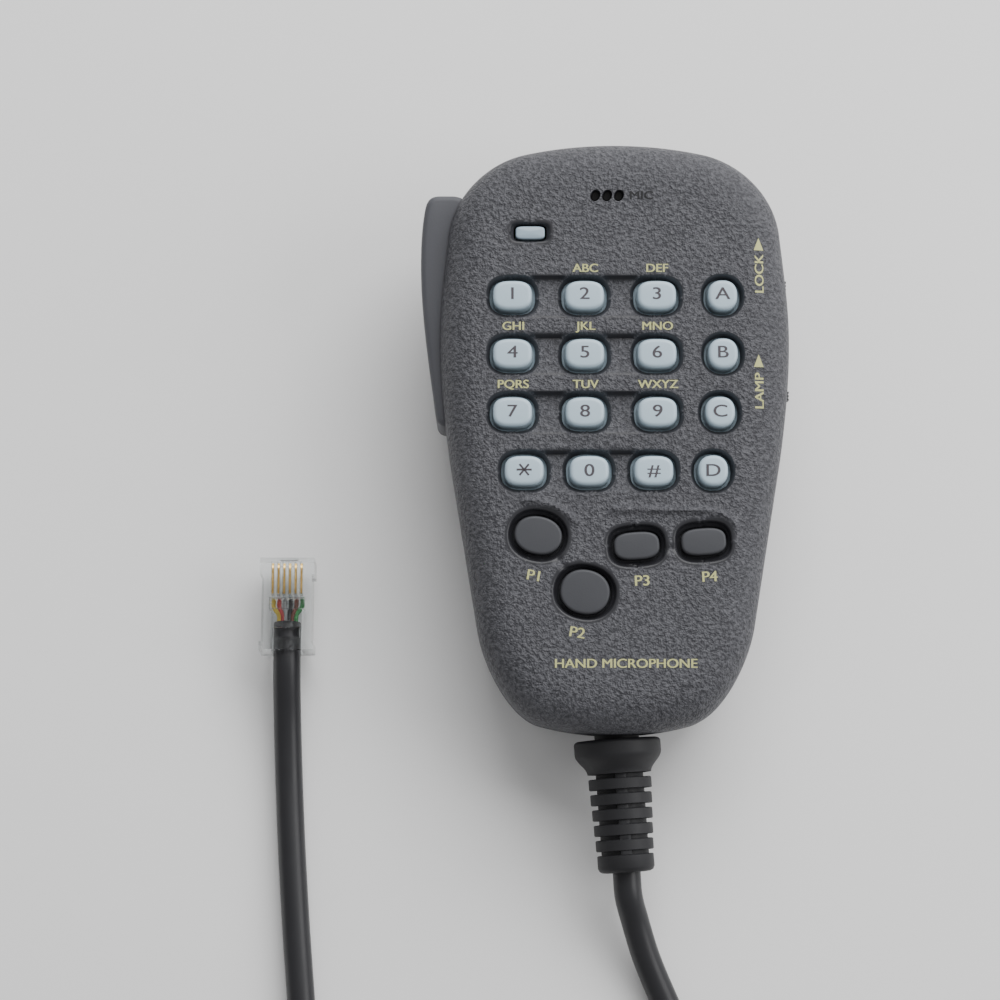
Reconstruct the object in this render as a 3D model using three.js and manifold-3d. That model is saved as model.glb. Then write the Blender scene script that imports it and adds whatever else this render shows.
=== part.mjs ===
// Hand microphone with a keypad, a press-to-talk bar, a curly cord and a six-way modular plug.
// Millimetres, +Z up. The microphone lies on its back: +X is its right side, +Y points to its top
// end, and the face looks up. It rests on the hanger stud and on the low end of its back, so the
// case stands at a small angle. The origin is on the resting surface below the middle of the case.

import * as THREE from 'three';
import { mergeVertices } from 'three/addons/utils/BufferGeometryUtils.js';
import Module from 'manifold-3d';

const wasm = await Module();
wasm.setup();

// ---------------------------------------------------------------- driving dimensions

// Case outline, seen from the front. The middle of the outline is the case's own zero.
const caseWidth = 61.3;
const caseHeight = 103.7;
const crownRadius = 75;
const crownHalfSpan = 15.5;
const shoulderDrop = 16.8;
const taperStartY = -3.8;
const taperStartInset = 1.75;
const taperEndRise = 18.6;
const taperEndHalfWidth = 24.1;
const heelHalfSpan = 13.5;
const heelRise = 1.8;

// Case depth and walls. The parting plane is z = 0 in the case's own frame.
const faceHeight = 12.7;
const backDepth = 13.5;
const backHeelInset = 8.6;
const wall = 2.2;
const gap = 0.3;

// Keypad: columns and rows, from the middle of the case and from its top end.
const keyColumns = [-17.9, -5.4, 7.1];
const keyColumnsLastRow = [-15.9, -4.7, 6.4];
const letterColumns = [18.5, 18.5, 17.9, 16.6];
const firstRowDrop = 28.1;
const rowPitch = 10.2;
const keySize = [7.1, 5.5];
const letterSize = [5.5, 5.7];
const keyProud = 1.1;
const keyClearance = 0.45;
const keyFlange = 1.2;
const keyFlangeThickness = 1.2;
const channelHeight = 7.2;
const channelBeyondKey = 1.1;
const channelDepth = 0.9;
const letterWell = 7.5;

// Program keys: place from the last key row, size, turn of the key in degrees, well size.
const programKeys = [
  { name: 'program_key_1', x: -13.5, drop: 11.1, size: [8.2, 6.5], turn: -12, well: [10.2, 8.9] },
  { name: 'program_key_2', x: -5.5, drop: 20.85, size: [8.5, 7.6], turn: -12, well: [10.7, 9.4] },
  { name: 'program_key_3', x: 3.4, drop: 12.9, size: [7.8, 4.7], turn: 4, well: [9.9, 7.1] },
  { name: 'program_key_4', x: 14.9, drop: 12.2, size: [7.7, 4.6], turn: 4, well: [9.6, 7.0] },
];
const programWellDepth = 1.2;
const programProud = 0.3;

// Light window and microphone slots, from the top end.
const windowPlace = [-14.8, 16.8];
const windowSize = [5.1, 2.3];
const windowRecess = [6.8, 3.4];
const windowRecessDepth = 0.6;
const slotDrop = 10.3;
const slotMiddle = -1.4;
const slotPitch = 2.05;
const slotSize = [1.3, 1.6];
const slotLean = -18;

// Inside: board, mats, capsule.
const boardBottom = 3.6;
const boardThickness = 1.6;
const matThickness = 1.4;
const domeHeight = 0.4;
const domeRadius = 1.6;
const programMatSpan = [-18.5, 19.5];
const capsuleRadius = 3.0;
const capsuleHeight = 2.7;
const bootWall = 0.9;
const chipSize = 12;
const chipY = -6;
const chipThickness = 1.4;

// Screws and their posts, from the middle line and from each end of the case.
const upperPost = [17, 9.8];
const lowerPost = [15, 14.8];
const postRadius = 2.9;
const screwShankRadius = 1.2;
const screwHeadRadius = 2.3;
const screwHeadHeight = 1.3;
const screwHeadDepth = 1.9;
const runningClearance = 0.3;

// Press-to-talk bar and its pivot, from the left side and from the top end.
const barTopDrop = 8.8;
const barLength = 41.2;
const barFront = 6.5;
const barBack = -7.5;
const barProud = 3.35;
const barInnerInset = 4.45;
const pivotInset = 4.85;
const pivotRise = 2.4;
const pivotPinRadius = 1.0;
const knuckleRadius = 2.1;
const lugOutside = 1.4;
const lugHalf = 2.2;
const lugBeyondBar = 0.7;
const lugReach = 10;
const pinBeyondBar = 1.9;
const plungerRise = 25.8;
const plungerRadius = 1.5;
const plungerTravelRoom = 1.8;
const pttSwitchSize = [6, 6, 5.8];

// Slides on the right side, each named by its own label, measured from the top end.
const slides = [
  { name: 'lock', drop: 24.0 },
  { name: 'lamp', drop: 43.8 },
];
const nubHeight = 2.1;
const nubDepth = 3.4;
const nubProud = 0.65;
const slideTravel = 2.0;
const slideSwitchSize = [4.8, 10, 5.8];

// Up and down keys in the top end.
const endKeyWidth = 8.6;
const endKeyDepth = 4.2;
const endKeyTurn = 6;
const endKeySunk = 0.3;
const endKeyMiddleZ = -0.3;

// Hanger stud on the back, from the middle of the case.
const studY = 20;
const studHeadRadius = 7.5;
const studNeckRadius = 4.2;
const studProud = 6;
const studHeadThickness = 2.4;
const studScrewRadius = 1.5;
const studScrewHeadRadius = 3.2;
const studBossRadius = 4.5;

// Strain relief and cord.
const cordDiameter = 4.9;
const reliefX = 0.35;
const reliefZ = -1.0;
const reliefLean = 4;
const reliefLength = 23.7;
const reliefCollarRadius = 7.6;
const reliefNeckRadius = 3.9;
const collarStart = 1.15;
const ribCount = 5;
const ribStart = 7.3;
const ribGap = 0.66;
const ribPitch = 2.66;
const ribThickness = 2.0;
const ribRadiusFirst = 5.5;
const ribRadiusLast = 5.05;
const ribCoreRadius = 4.15;
const curlDiameter = 15;

// Six-way modular plug.
const plugX = -56.5;
const plugY = -27.5;
const plugWidth = 9.65;
const plugLength = 16.5;
const plugHeight = 6.6;
const plugLift = 3.4;
const contactCount = 6;
const contactPitch = 1.02;
const contactThickness = 0.35;
const latchWidth = 3.2;
const latchThickness = 0.9;
const latchBend = 12.5;
const latchLength = 15.2;
const latchLow = 0.35;

// ---------------------------------------------------------------- worked-out sizes

const halfWidth = caseWidth / 2;
const halfHeight = caseHeight / 2;
const cavityTop = faceHeight - wall - 0.1;
const cavityBottom = -(backDepth - wall);
const flangeTop = cavityTop - 0.5;
const flangeBottom = flangeTop - keyFlangeThickness;
const boardTop = boardBottom + boardThickness;
const matBottom = boardTop + gap;
const matTop = matBottom + matThickness;
const rowY = (row) => halfHeight - firstRowDrop - row * rowPitch;
const lastRowY = rowY(3);
const barInnerX = -halfWidth + barInnerInset;
const pivotX = -halfWidth + pivotInset;
const barTopY = halfHeight - barTopDrop;
const barLowY = barTopY - barLength;
const pivotY = barLowY + pivotRise;
const plungerY = pivotY + plungerRise;
const restingAngle = Math.atan2(studProud, studY - studHeadRadius + halfHeight - backHeelInset);

// Section of each half of the case: [inset from the outline, height above the parting plane].
const frontOutside = [
  [0, gap / 2], [0, 5.5], [0.45, 8.2], [1.5, 10.3], [3.2, 11.6], [5.6, 12.4], [8.5, faceHeight],
];
const frontInside = [[wall, -2], [wall, 5], [wall + 0.7, 7.8], [wall + 2, 9.4], [wall + 4, cavityTop]];
const rearOutside = [
  [backHeelInset, -backDepth], [5, -12.6], [2.4, -10.4], [0.8, -7.5], [0, -4], [0, -gap / 2],
];
const rearInside = [
  [wall + 5, cavityBottom], [wall + 2.6, -9.6], [wall + 1, -7.2], [wall, -4], [wall, 2],
];

// ---------------------------------------------------------------- solids

const solid = (geometry) => {
  const bare = geometry.clone();
  bare.deleteAttribute('normal');
  bare.deleteAttribute('uv');
  const merged = mergeVertices(bare, 1e-4);
  const vertProperties = new Float32Array(merged.attributes.position.array);
  const triVerts = new Uint32Array(merged.index.array);
  return new wasm.Manifold(new wasm.Mesh({ numProp: 3, vertProperties, triVerts }));
};

const geometryOf = (body) => {
  const mesh = body.getMesh();
  const geometry = new THREE.BufferGeometry();
  geometry.setAttribute('position', new THREE.BufferAttribute(mesh.vertProperties, 3));
  geometry.setIndex(new THREE.BufferAttribute(mesh.triVerts, 1));
  return geometry;
};

// A closed body from rings of equal count, given from low z to high z, with flat ends.
const loft = (rings) => {
  const count = rings[0].length;
  const positions = rings.flat().flatMap((p) => [p.x, p.y, p.z]);
  const index = [];
  for (let r = 0; r < rings.length - 1; r += 1) {
    for (let i = 0; i < count; i += 1) {
      const a = r * count + i;
      const b = r * count + ((i + 1) % count);
      index.push(a, b, b + count, a, b + count, a + count);
    }
  }
  const top = (rings.length - 1) * count;
  for (let i = 1; i < count - 1; i += 1) {
    index.push(0, i + 1, i);
    index.push(top, top + i, top + i + 1);
  }
  const geometry = new THREE.BufferGeometry();
  geometry.setAttribute('position', new THREE.Float32BufferAttribute(positions, 3));
  geometry.setIndex(index);
  return geometry;
};

const prism = (points, low, high) => {
  const options = { depth: high - low, bevelEnabled: false, steps: 1 };
  const geometry = new THREE.ExtrudeGeometry(new THREE.Shape(points), options);
  return geometry.translate(0, 0, low);
};

const box = (x0, x1, y0, y1, z0, z1) => {
  const geometry = new THREE.BoxGeometry(x1 - x0, y1 - y0, z1 - z0);
  return geometry.translate((x0 + x1) / 2, (y0 + y1) / 2, (z0 + z1) / 2);
};

const rod = (radius, x, y, low, high, sides = 16) => {
  const geometry = new THREE.CylinderGeometry(radius, radius, high - low, sides);
  return geometry.rotateX(Math.PI / 2).translate(x, y, (low + high) / 2);
};

// A rounded outline |x/a|^n + |y/b|^n = 1, turned by an angle in degrees and moved.
const oval = (width, height, power, x, y, turn = 0, sides = 16) => {
  const points = [];
  const angle = THREE.MathUtils.degToRad(turn);
  for (let i = 0; i < sides; i += 1) {
    const t = ((i + 0.5) / sides) * 2 * Math.PI;
    const c = Math.cos(t);
    const s = Math.sin(t);
    const px = (width / 2) * Math.sign(c) * Math.abs(c) ** (2 / power);
    const py = (height / 2) * Math.sign(s) * Math.abs(s) ** (2 / power);
    const turned = new THREE.Vector2(px, py).rotateAround(new THREE.Vector2(), angle);
    points.push(turned.add(new THREE.Vector2(x, y)));
  }
  return points;
};

const ovalRing = (width, height, power, x, y, z, turn) =>
  oval(width, height, power, x, y, turn).map((p) => new THREE.Vector3(p.x, p.y, z));

// A stadium outline with half-round ends.
const pill = (width, height, x, y, sides = 8) => {
  const points = [];
  const radius = height / 2;
  for (const side of [1, -1]) {
    for (let i = 0; i <= sides; i += 1) {
      const t = (i / sides - 0.5) * Math.PI + (side === 1 ? 0 : Math.PI);
      const cx = side * (width / 2 - radius);
      points.push(new THREE.Vector2(x + cx + radius * Math.cos(t), y + radius * Math.sin(t)));
    }
  }
  return points;
};

const cut = (body, ...tools) => tools.reduce((left, tool) => left.subtract(solid(tool)), body);
const join = (body, ...more) => more.reduce((left, tool) => left.add(solid(tool)), body);

// ---------------------------------------------------------------- case outline

const outlineCurves = (() => {
  const path = new THREE.Path();
  const crownDrop = crownRadius - Math.sqrt(crownRadius ** 2 - crownHalfSpan ** 2);
  const w = halfWidth;
  const h = halfHeight;
  path.moveTo(0, h);
  path.bezierCurveTo(-5.2, h, -10.3, h - 0.5, -crownHalfSpan, h - crownDrop);
  path.bezierCurveTo(-crownHalfSpan - 7.1, h - 3.1, -w + 1.95, h - 9.4, -w + 1.45, h - shoulderDrop);
  path.bezierCurveTo(-w + 0.79, h - 22.8, -w, h - 28.8, -w, h - 34.5);
  path.bezierCurveTo(-w, h - 41.8, -w + 0.75, taperStartY + 7, -w + taperStartInset, taperStartY);
  path.lineTo(-w + halfWidth - taperEndHalfWidth, -h + taperEndRise);
  path.bezierCurveTo(-taperEndHalfWidth + 1, -h + 12.3, -heelHalfSpan - 5, -h + 3.4, -heelHalfSpan, -h + heelRise);
  path.bezierCurveTo(-9, -h + 0.55, -4.5, -h, 0, -h);
  return path.curves;
})();

const outlineSteps = [2, 5, 2, 2, 1, 4, 2];

// Points and outward normals of the left half, from top to bottom, then mirrored for the right half.
const outlineSamples = (() => {
  const left = [];
  outlineCurves.forEach((curve, index) => {
    for (let i = 0; i < outlineSteps[index]; i += 1) {
      const t = i / outlineSteps[index];
      const tangent = curve.getTangent(t);
      left.push({ point: curve.getPoint(t), normal: new THREE.Vector2(tangent.y, -tangent.x) });
    }
  });
  left[0].normal.set(0, 1);
  const bottom = { point: new THREE.Vector2(0, -halfHeight), normal: new THREE.Vector2(0, -1) };
  const mirror = ({ point, normal }) => ({
    point: new THREE.Vector2(-point.x, point.y),
    normal: new THREE.Vector2(-normal.x, normal.y),
  });
  return [...left, bottom, ...left.slice(1).reverse().map(mirror)];
})();

const outline = (inset) =>
  outlineSamples.map(({ point, normal }) => point.clone().addScaledVector(normal, -inset));

const outlineRing = (inset, z) => outline(inset).map((p) => new THREE.Vector3(p.x, p.y, z));

// Half width of the case at a height, from the outline itself.
const halfWidthAt = (y) => {
  const side = outlineSamples.map((s) => s.point).filter((p) => p.x <= 0);
  const i = side.findIndex((p) => p.y <= y);
  const a = side[i - 1];
  const b = side[i];
  return -THREE.MathUtils.lerp(a.x, b.x, (a.y - y) / (a.y - b.y));
};

const shell = (outside, inside) => {
  const outer = solid(loft(outside.map(([inset, z]) => outlineRing(inset, z))));
  return outer.subtract(solid(loft(inside.map(([inset, z]) => outlineRing(inset, z)))));
};

// ---------------------------------------------------------------- shared places

const keypadKeys = [];
const digits = [['1', '2', '3'], ['4', '5', '6'], ['7', '8', '9'], ['star', '0', 'hash']];
const letters = ['A', 'B', 'C', 'D'];
const keyChannels = [];
digits.forEach((names, row) => {
  const columns = row === digits.length - 1 ? keyColumnsLastRow : keyColumns;
  const y = rowY(row);
  names.forEach((name, i) => {
    keypadKeys.push({ name: `key_${name}`, x: columns[i], y, size: keySize, power: 2.8 });
  });
  const letter = `key_${letters[row]}`;
  keypadKeys.push({ name: letter, x: letterColumns[row], y, size: letterSize, power: 2.3, round: true });
  const width = columns[2] - columns[0] + keySize[0] + 2 * channelBeyondKey;
  keyChannels.push({ x: (columns[0] + columns[2]) / 2, y, width });
});

const posts = [];
for (const side of [-1, 1]) {
  posts.push({ x: side * upperPost[0], y: halfHeight - upperPost[1] });
  posts.push({ x: side * lowerPost[0], y: -halfHeight + lowerPost[1] });
}

// Everything in the top end that follows the crown is drawn on the middle line and turned about
// the crown's own middle.
const aboutCrown = (geometry, side) => {
  const middle = halfHeight - crownRadius;
  geometry.translate(0, -middle, 0);
  geometry.rotateZ(THREE.MathUtils.degToRad(-side * endKeyTurn));
  return geometry.translate(0, middle, 0);
};

const endKeySlot = (side) => {
  const halfX = endKeyWidth / 2 + keyClearance;
  const halfZ = endKeyDepth / 2 + keyClearance;
  const slot = box(-halfX, halfX, halfHeight - 6, halfHeight + 3, endKeyMiddleZ - halfZ, endKeyMiddleZ + halfZ);
  return aboutCrown(slot, side);
};

const barSlot = () => box(
  -halfWidth - 10, barInnerX + 2.2,
  barLowY - keyClearance, barTopY + keyClearance,
  barBack - keyClearance, barFront + keyClearance,
);

const slideSlot = ({ drop }) => {
  const y = halfHeight - drop;
  const x = halfWidthAt(y);
  const halfY = nubHeight / 2 + keyClearance;
  const halfZ = nubDepth / 2 + keyClearance;
  return box(x - wall - 1.5, x + 3, y - halfY, y + halfY + slideTravel, -halfZ, halfZ);
};

// The strain relief is turned on the lathe about +Y, then laid along -Y with a lean to the right.
const alongRelief = (geometry) => {
  geometry.rotateZ(Math.PI + THREE.MathUtils.degToRad(reliefLean));
  return geometry.translate(reliefX, -halfHeight, reliefZ);
};

const reliefHole = () => {
  const hole = new THREE.CylinderGeometry(reliefNeckRadius + 0.35, reliefNeckRadius + 0.35, 12, 16);
  return alongRelief(hole);
};

const pinHole = () => {
  const reach = pinBeyondBar + runningClearance;
  return rod(pivotPinRadius + runningClearance, pivotX, pivotY, barBack - reach, barFront + reach, 12);
};

const pivotLug = (low, high) =>
  box(pivotX - lugOutside, pivotX + lugHalf, pivotY - lugHalf, pivotY + lugHalf, low, high);

// ---------------------------------------------------------------- cases

const frontCase = () => {
  let body = shell(frontOutside, frontInside);
  for (const { x, y } of posts) {
    body = join(body, rod(postRadius, x, y, gap / 2, cavityTop + 0.6));
  }
  body = join(body, pivotLug(barFront + lugBeyondBar, lugReach));
  const above = faceHeight + 3;
  for (const { x, y, width } of keyChannels) {
    body = cut(body, prism(pill(width, channelHeight, x, y), faceHeight - channelDepth, above));
  }
  for (const { x, y, size, power, round } of keypadKeys) {
    const hole = oval(size[0] + 2 * keyClearance, size[1] + 2 * keyClearance, power, x, y);
    body = cut(body, prism(hole, 5, above));
    if (round) {
      body = cut(body, prism(oval(letterWell, letterWell, 2, x, y), faceHeight - channelDepth, above));
    }
  }
  for (const { x, drop, size, turn, well } of programKeys) {
    const y = lastRowY - drop;
    const hole = oval(size[0] + 2 * keyClearance, size[1] + 2 * keyClearance, 2.2, x, y, turn);
    const dish = oval(well[0], well[1], 2.2, x, y, turn);
    body = cut(body, prism(hole, 5, above), prism(dish, faceHeight - programWellDepth, above));
  }
  const windowY = halfHeight - windowPlace[1];
  const windowHole = oval(windowSize[0] + 0.7, windowSize[1] + 0.7, 4, windowPlace[0], windowY);
  const recess = oval(windowRecess[0], windowRecess[1], 4, windowPlace[0], windowY);
  body = cut(body, prism(windowHole, 5, above), prism(recess, faceHeight - windowRecessDepth, above));
  for (const step of [-1, 0, 1]) {
    const x = slotMiddle + step * slotPitch;
    body = cut(body, prism(oval(...slotSize, 2, x, halfHeight - slotDrop, slotLean, 10), 8, above));
  }
  for (const { x, y } of posts) {
    body = cut(body, rod(screwShankRadius + runningClearance, x, y, -1, 8.2, 10));
  }
  for (const side of [-1, 1]) {
    body = cut(body, endKeySlot(side));
  }
  for (const slide of slides) {
    body = cut(body, slideSlot(slide));
  }
  return cut(body, barSlot(), reliefHole(), pinHole());
};

const rearCase = () => {
  let body = shell(rearOutside, rearInside);
  for (const { x, y } of posts) {
    body = join(body, rod(postRadius, x, y, cavityBottom - 0.8, -gap / 2));
  }
  body = join(body, rod(studBossRadius, 0, studY, cavityBottom - 0.8, cavityBottom + 4.5));
  body = join(body, pivotLug(-lugReach, barBack - lugBeyondBar));
  for (const { x, y } of posts) {
    body = cut(body, rod(screwHeadRadius + runningClearance, x, y, -backDepth - 2, -backDepth + screwHeadDepth, 12));
    body = cut(body, rod(screwShankRadius + runningClearance, x, y, -backDepth, 1, 10));
  }
  body = cut(body, rod(studScrewRadius + runningClearance, 0, studY, -backDepth - 2, -4, 12));
  for (const side of [-1, 1]) {
    body = cut(body, endKeySlot(side));
  }
  for (const slide of slides) {
    body = cut(body, slideSlot(slide));
  }
  return cut(body, barSlot(), reliefHole(), pinHole());
};

// ---------------------------------------------------------------- keys, window, mats

// A key with a flange under the wall, straight sides and a softly domed top.
const keyBody = (x, y, size, power, turn, top, round) => {
  const ring = (grow, z) => ovalRing(size[0] + 2 * grow, size[1] + 2 * grow, power, x, y, z, turn);
  return loft([
    ring(keyFlange, flangeBottom), ring(keyFlange, flangeTop), ring(0, flangeTop),
    ring(0, top - round), ring(-round * 0.45, top - round * 0.4), ring(-round * 1.6, top),
  ]);
};

const keypadKey = ({ x, y, size, power }) => keyBody(x, y, size, power, 0, faceHeight + keyProud, 0.7);

const programKey = ({ x, drop, size, turn }) =>
  keyBody(x, lastRowY - drop, size, 2.2, turn, faceHeight + programProud, 0.6);

const lightWindow = () => {
  const y = halfHeight - windowPlace[1];
  const ring = (grow, z) => ovalRing(windowSize[0] + 2 * grow, windowSize[1] + 2 * grow, 4, windowPlace[0], y, z, 0);
  return loft([ring(0.8, flangeBottom), ring(0.8, flangeTop), ring(0, flangeTop), ring(0, faceHeight - 0.4)]);
};

const mat = (x0, x1, y0, y1, keys) => {
  let body = solid(box(x0, x1, y0, y1, matBottom, matTop));
  for (const { x, y } of keys) {
    body = join(body, rod(domeRadius, x, y, matTop - 0.5, matTop + domeHeight, 8));
  }
  return geometryOf(body);
};

const keypadMat = () => {
  const reach = keySize[0] / 2 + keyFlange;
  const right = letterColumns[0] + letterSize[0] / 2 + keyFlange;
  return mat(keyColumns[0] - reach, right, lastRowY - 5.2, rowY(0) + 5.2, keypadKeys);
};

const programMat = () => {
  const keys = programKeys.map(({ x, drop }) => ({ x, y: lastRowY - drop }));
  return mat(...programMatSpan, lastRowY - 26.3, lastRowY - 5.8, keys);
};

// ---------------------------------------------------------------- board and what it carries

const mainBoard = () => {
  let body = solid(prism(outline(wall + 1.1), boardBottom, boardTop));
  const left = barInnerX + 3.6;
  const clip = box(left, halfWidth, -halfHeight + 9.5, halfHeight - 5, boardBottom - 1, boardTop + 1);
  body = body.intersect(solid(clip));
  for (const { x, y } of posts) {
    body = cut(body, rod(postRadius + 0.5, x, y, boardBottom - 1, boardTop + 1));
  }
  return geometryOf(body);
};

const controllerChip = () => {
  const top = boardBottom - gap;
  return box(-chipSize / 2, chipSize / 2, chipY - chipSize / 2, chipY + chipSize / 2, top - chipThickness, top);
};

const statusLed = () => {
  const [x, drop] = windowPlace;
  const y = halfHeight - drop;
  let body = solid(box(x - 1.6, x + 1.6, y - 0.9, y + 0.9, matBottom, matBottom + 1.1));
  body = join(body, rod(0.75, x, y, matBottom + 1, matBottom + 2.1, 10));
  return geometryOf(body);
};

const bootRadius = capsuleRadius + gap + bootWall;

const micBoot = () => {
  const y = halfHeight - slotDrop;
  const top = cavityTop - 1.2;
  const body = solid(rod(bootRadius, slotMiddle, y, matBottom, top, 20));
  return geometryOf(cut(body, rod(capsuleRadius + gap, slotMiddle, y, matBottom + 0.6, top + 1, 20)));
};

const micCapsule = () => {
  const low = matBottom + 0.6 + gap;
  const y = halfHeight - slotDrop;
  const profile = [
    [0, 0], [capsuleRadius - 0.15, 0], [capsuleRadius, 0.15], [capsuleRadius, capsuleHeight - 0.2],
    [capsuleRadius - 0.2, capsuleHeight], [1.4, capsuleHeight], [1.4, capsuleHeight - 0.3], [0, capsuleHeight - 0.3],
  ];
  const geometry = new THREE.LatheGeometry(profile.map(([r, z]) => new THREE.Vector2(r, z)), 16);
  return geometry.rotateX(Math.PI / 2).translate(slotMiddle, y, low);
};

// ---------------------------------------------------------------- press-to-talk

const pttBar = () => {
  const top = barTopY;
  const w = -halfWidth;
  const shape = new THREE.Shape();
  shape.moveTo(barInnerX, top);
  shape.lineTo(barInnerX, barLowY + 1.2);
  shape.lineTo(w + 1.6, barLowY);
  shape.quadraticCurveTo(w - 0.4, barLowY, w - 0.6, barLowY + 1.2);
  shape.bezierCurveTo(w - 1.7, barLowY + 10, w - barProud, top - 22, w - barProud, top - 12);
  shape.quadraticCurveTo(w - barProud, top - 6, w - barProud + 0.75, top - 2.2);
  shape.quadraticCurveTo(w - barProud + 1.1, top, w - barProud + 2.8, top);
  shape.closePath();
  const bevel = 0.8;
  const options = {
    depth: barFront - barBack - 2 * bevel, bevelEnabled: true, bevelThickness: bevel,
    bevelSize: bevel, bevelOffset: -bevel, bevelSegments: 1, curveSegments: 6,
  };
  const bar = new THREE.ExtrudeGeometry(shape, options).translate(0, 0, barBack + bevel);
  let body = solid(bar);
  body = join(body, rod(knuckleRadius, pivotX, pivotY, barBack + 0.1, barFront - 0.1, 16));
  return geometryOf(cut(body, pinHole()));
};

const pttPin = () =>
  rod(pivotPinRadius, pivotX, pivotY, barBack - pinBeyondBar, barFront + pinBeyondBar, 12);

const switchLeft = barInnerX + 3.4;

const pttSwitch = () => {
  const [sx, sy, sz] = pttSwitchSize;
  const top = boardBottom - gap;
  const body = solid(box(switchLeft, switchLeft + sx, plungerY - sy / 2, plungerY + sy / 2, top - sz, top));
  const middle = top - sz / 2;
  const bore = new THREE.CylinderGeometry(plungerRadius + runningClearance, plungerRadius + runningClearance, 9, 10);
  bore.rotateZ(Math.PI / 2).translate(switchLeft - 0.4, plungerY, middle);
  return geometryOf(cut(body, bore));
};

const pttPlunger = () => {
  const middle = boardBottom - gap - pttSwitchSize[2] / 2;
  const tip = barInnerX + 0.4;
  const end = switchLeft + 4.1 - plungerTravelRoom;
  const plunger = new THREE.CylinderGeometry(plungerRadius, plungerRadius, end - tip, 10);
  return plunger.rotateZ(Math.PI / 2).translate((tip + end) / 2, plungerY, middle);
};

// ---------------------------------------------------------------- slides and end keys

const slideKnob = ({ drop }) => {
  const y = halfHeight - drop;
  const x = halfWidthAt(y);
  const halfY = nubHeight / 2;
  const halfZ = nubDepth / 2;
  const nub = box(x - 4.6, x + nubProud, y - halfY, y + halfY, -halfZ, halfZ);
  return geometryOf(join(solid(nub), box(x - 5, x - 3.4, y - 3.2, y + 3.2, -2.8, 2.8)));
};

const slideSwitch = ({ drop }) => {
  const y = halfHeight - drop;
  const [sx, sy, sz] = slideSwitchSize;
  const right = halfWidthAt(y) - 5.4;
  const middle = y + slideTravel / 2;
  const top = boardBottom - gap;
  return box(right - sx, right, middle - sy / 2, middle + sy / 2, top - sz, top);
};

const endKey = (side) => {
  const halfX = endKeyWidth / 2;
  const halfZ = endKeyDepth / 2;
  const z = endKeyMiddleZ;
  const outer = halfHeight - endKeySunk;
  const inner = halfHeight - wall - 0.4;
  const key = box(-halfX, halfX, inner - 0.5, outer, z - halfZ, z + halfZ);
  const flange = box(-halfX - 0.9, halfX + 0.9, inner - 1.4, inner, z - halfZ - 0.9, z + halfZ + 0.9);
  return geometryOf(solid(aboutCrown(key, side)).add(solid(aboutCrown(flange, side))));
};

// ---------------------------------------------------------------- hanger stud and screws

const studFace = -backDepth - studProud;

const hangerStud = () => {
  const base = -backDepth - gap;
  const headTop = studFace + studHeadThickness;
  const bore = studScrewRadius + runningClearance;
  const sink = studScrewHeadRadius + runningClearance;
  const profile = [
    [bore, studFace + 2.1], [sink, studFace + 2.1], [sink, studFace], [studHeadRadius, studFace],
    [studHeadRadius, headTop - 0.4], [studHeadRadius - 0.5, headTop], [studNeckRadius, headTop + 0.5],
    [studNeckRadius, base - 0.8], [studNeckRadius + 0.9, base], [bore, base], [bore, studFace + 2.1],
  ];
  const geometry = new THREE.LatheGeometry(profile.map(([r, z]) => new THREE.Vector2(r, z)), 20);
  return geometry.rotateX(Math.PI / 2).translate(0, studY, 0);
};

// A screw with a cross recess, drawn head down along +Z from z = 0.
const screw = (headRadius, headHeight, shankRadius, length, x, y, z) => {
  let body = solid(rod(headRadius, 0, 0, 0, headHeight, 14));
  body = join(body, rod(shankRadius, 0, 0, headHeight - 0.3, length, 8));
  const arm = headRadius * 0.62;
  const slot = headRadius * 0.16;
  body = cut(body, box(-arm, arm, -slot, slot, -1, headHeight * 0.5));
  body = cut(body, box(-slot, slot, -arm, arm, -1, headHeight * 0.5));
  return geometryOf(body).translate(x, y, z);
};

const hangerScrew = () =>
  screw(studScrewHeadRadius, 1.5, studScrewRadius, studProud + backDepth - 7.6, 0, studY, studFace + 0.3);

const caseScrew = ({ x, y }) => {
  const head = -backDepth + screwHeadDepth - screwHeadHeight - gap;
  return screw(screwHeadRadius, screwHeadHeight, screwShankRadius, 7.4 - head, x, y, head);
};

// ---------------------------------------------------------------- strain relief

const strainRelief = () => {
  const flangeRadius = reliefNeckRadius + 1.2;
  const flangeFace = -wall - 1.6;
  const flangeBack = flangeFace - 1.5;
  const profile = [[0, flangeBack], [flangeRadius, flangeBack], [flangeRadius, flangeFace]];
  profile.push([reliefNeckRadius, flangeFace]);
  profile.push([reliefNeckRadius, collarStart - 0.1]);
  profile.push([reliefCollarRadius - 0.5, collarStart], [reliefCollarRadius, collarStart + 0.8]);
  profile.push([reliefCollarRadius - 0.1, 3.4]);
  profile.push([reliefCollarRadius - 1.1, 4.6], [ribRadiusFirst + 0.2, 5.8], [ribRadiusFirst, 6.6]);
  for (let rib = 0; rib < ribCount; rib += 1) {
    const radius = THREE.MathUtils.lerp(ribRadiusFirst, ribRadiusLast, rib / (ribCount - 1));
    const low = ribStart + rib * ribPitch;
    profile.push([ribCoreRadius, low - ribGap], [ribCoreRadius, low], [radius, low], [radius, low + ribThickness]);
  }
  const blockStart = ribStart + ribCount * ribPitch;
  profile.push([ribCoreRadius, blockStart - ribGap], [ribCoreRadius, blockStart], [ribRadiusLast - 0.1, blockStart]);
  profile.push([ribRadiusLast - 0.1, reliefLength - 0.6], [ribRadiusLast - 0.7, reliefLength], [0, reliefLength]);
  const geometry = new THREE.LatheGeometry(profile.map(([r, t]) => new THREE.Vector2(r, t)), 12);
  return alongRelief(geometry);
};

// ---------------------------------------------------------------- plug

const plugBottom = plugLift;
const plugTop = plugLift + plugHeight;
const plugFront = plugY + plugLength / 2;
const plugRear = plugY - plugLength / 2;

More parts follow.
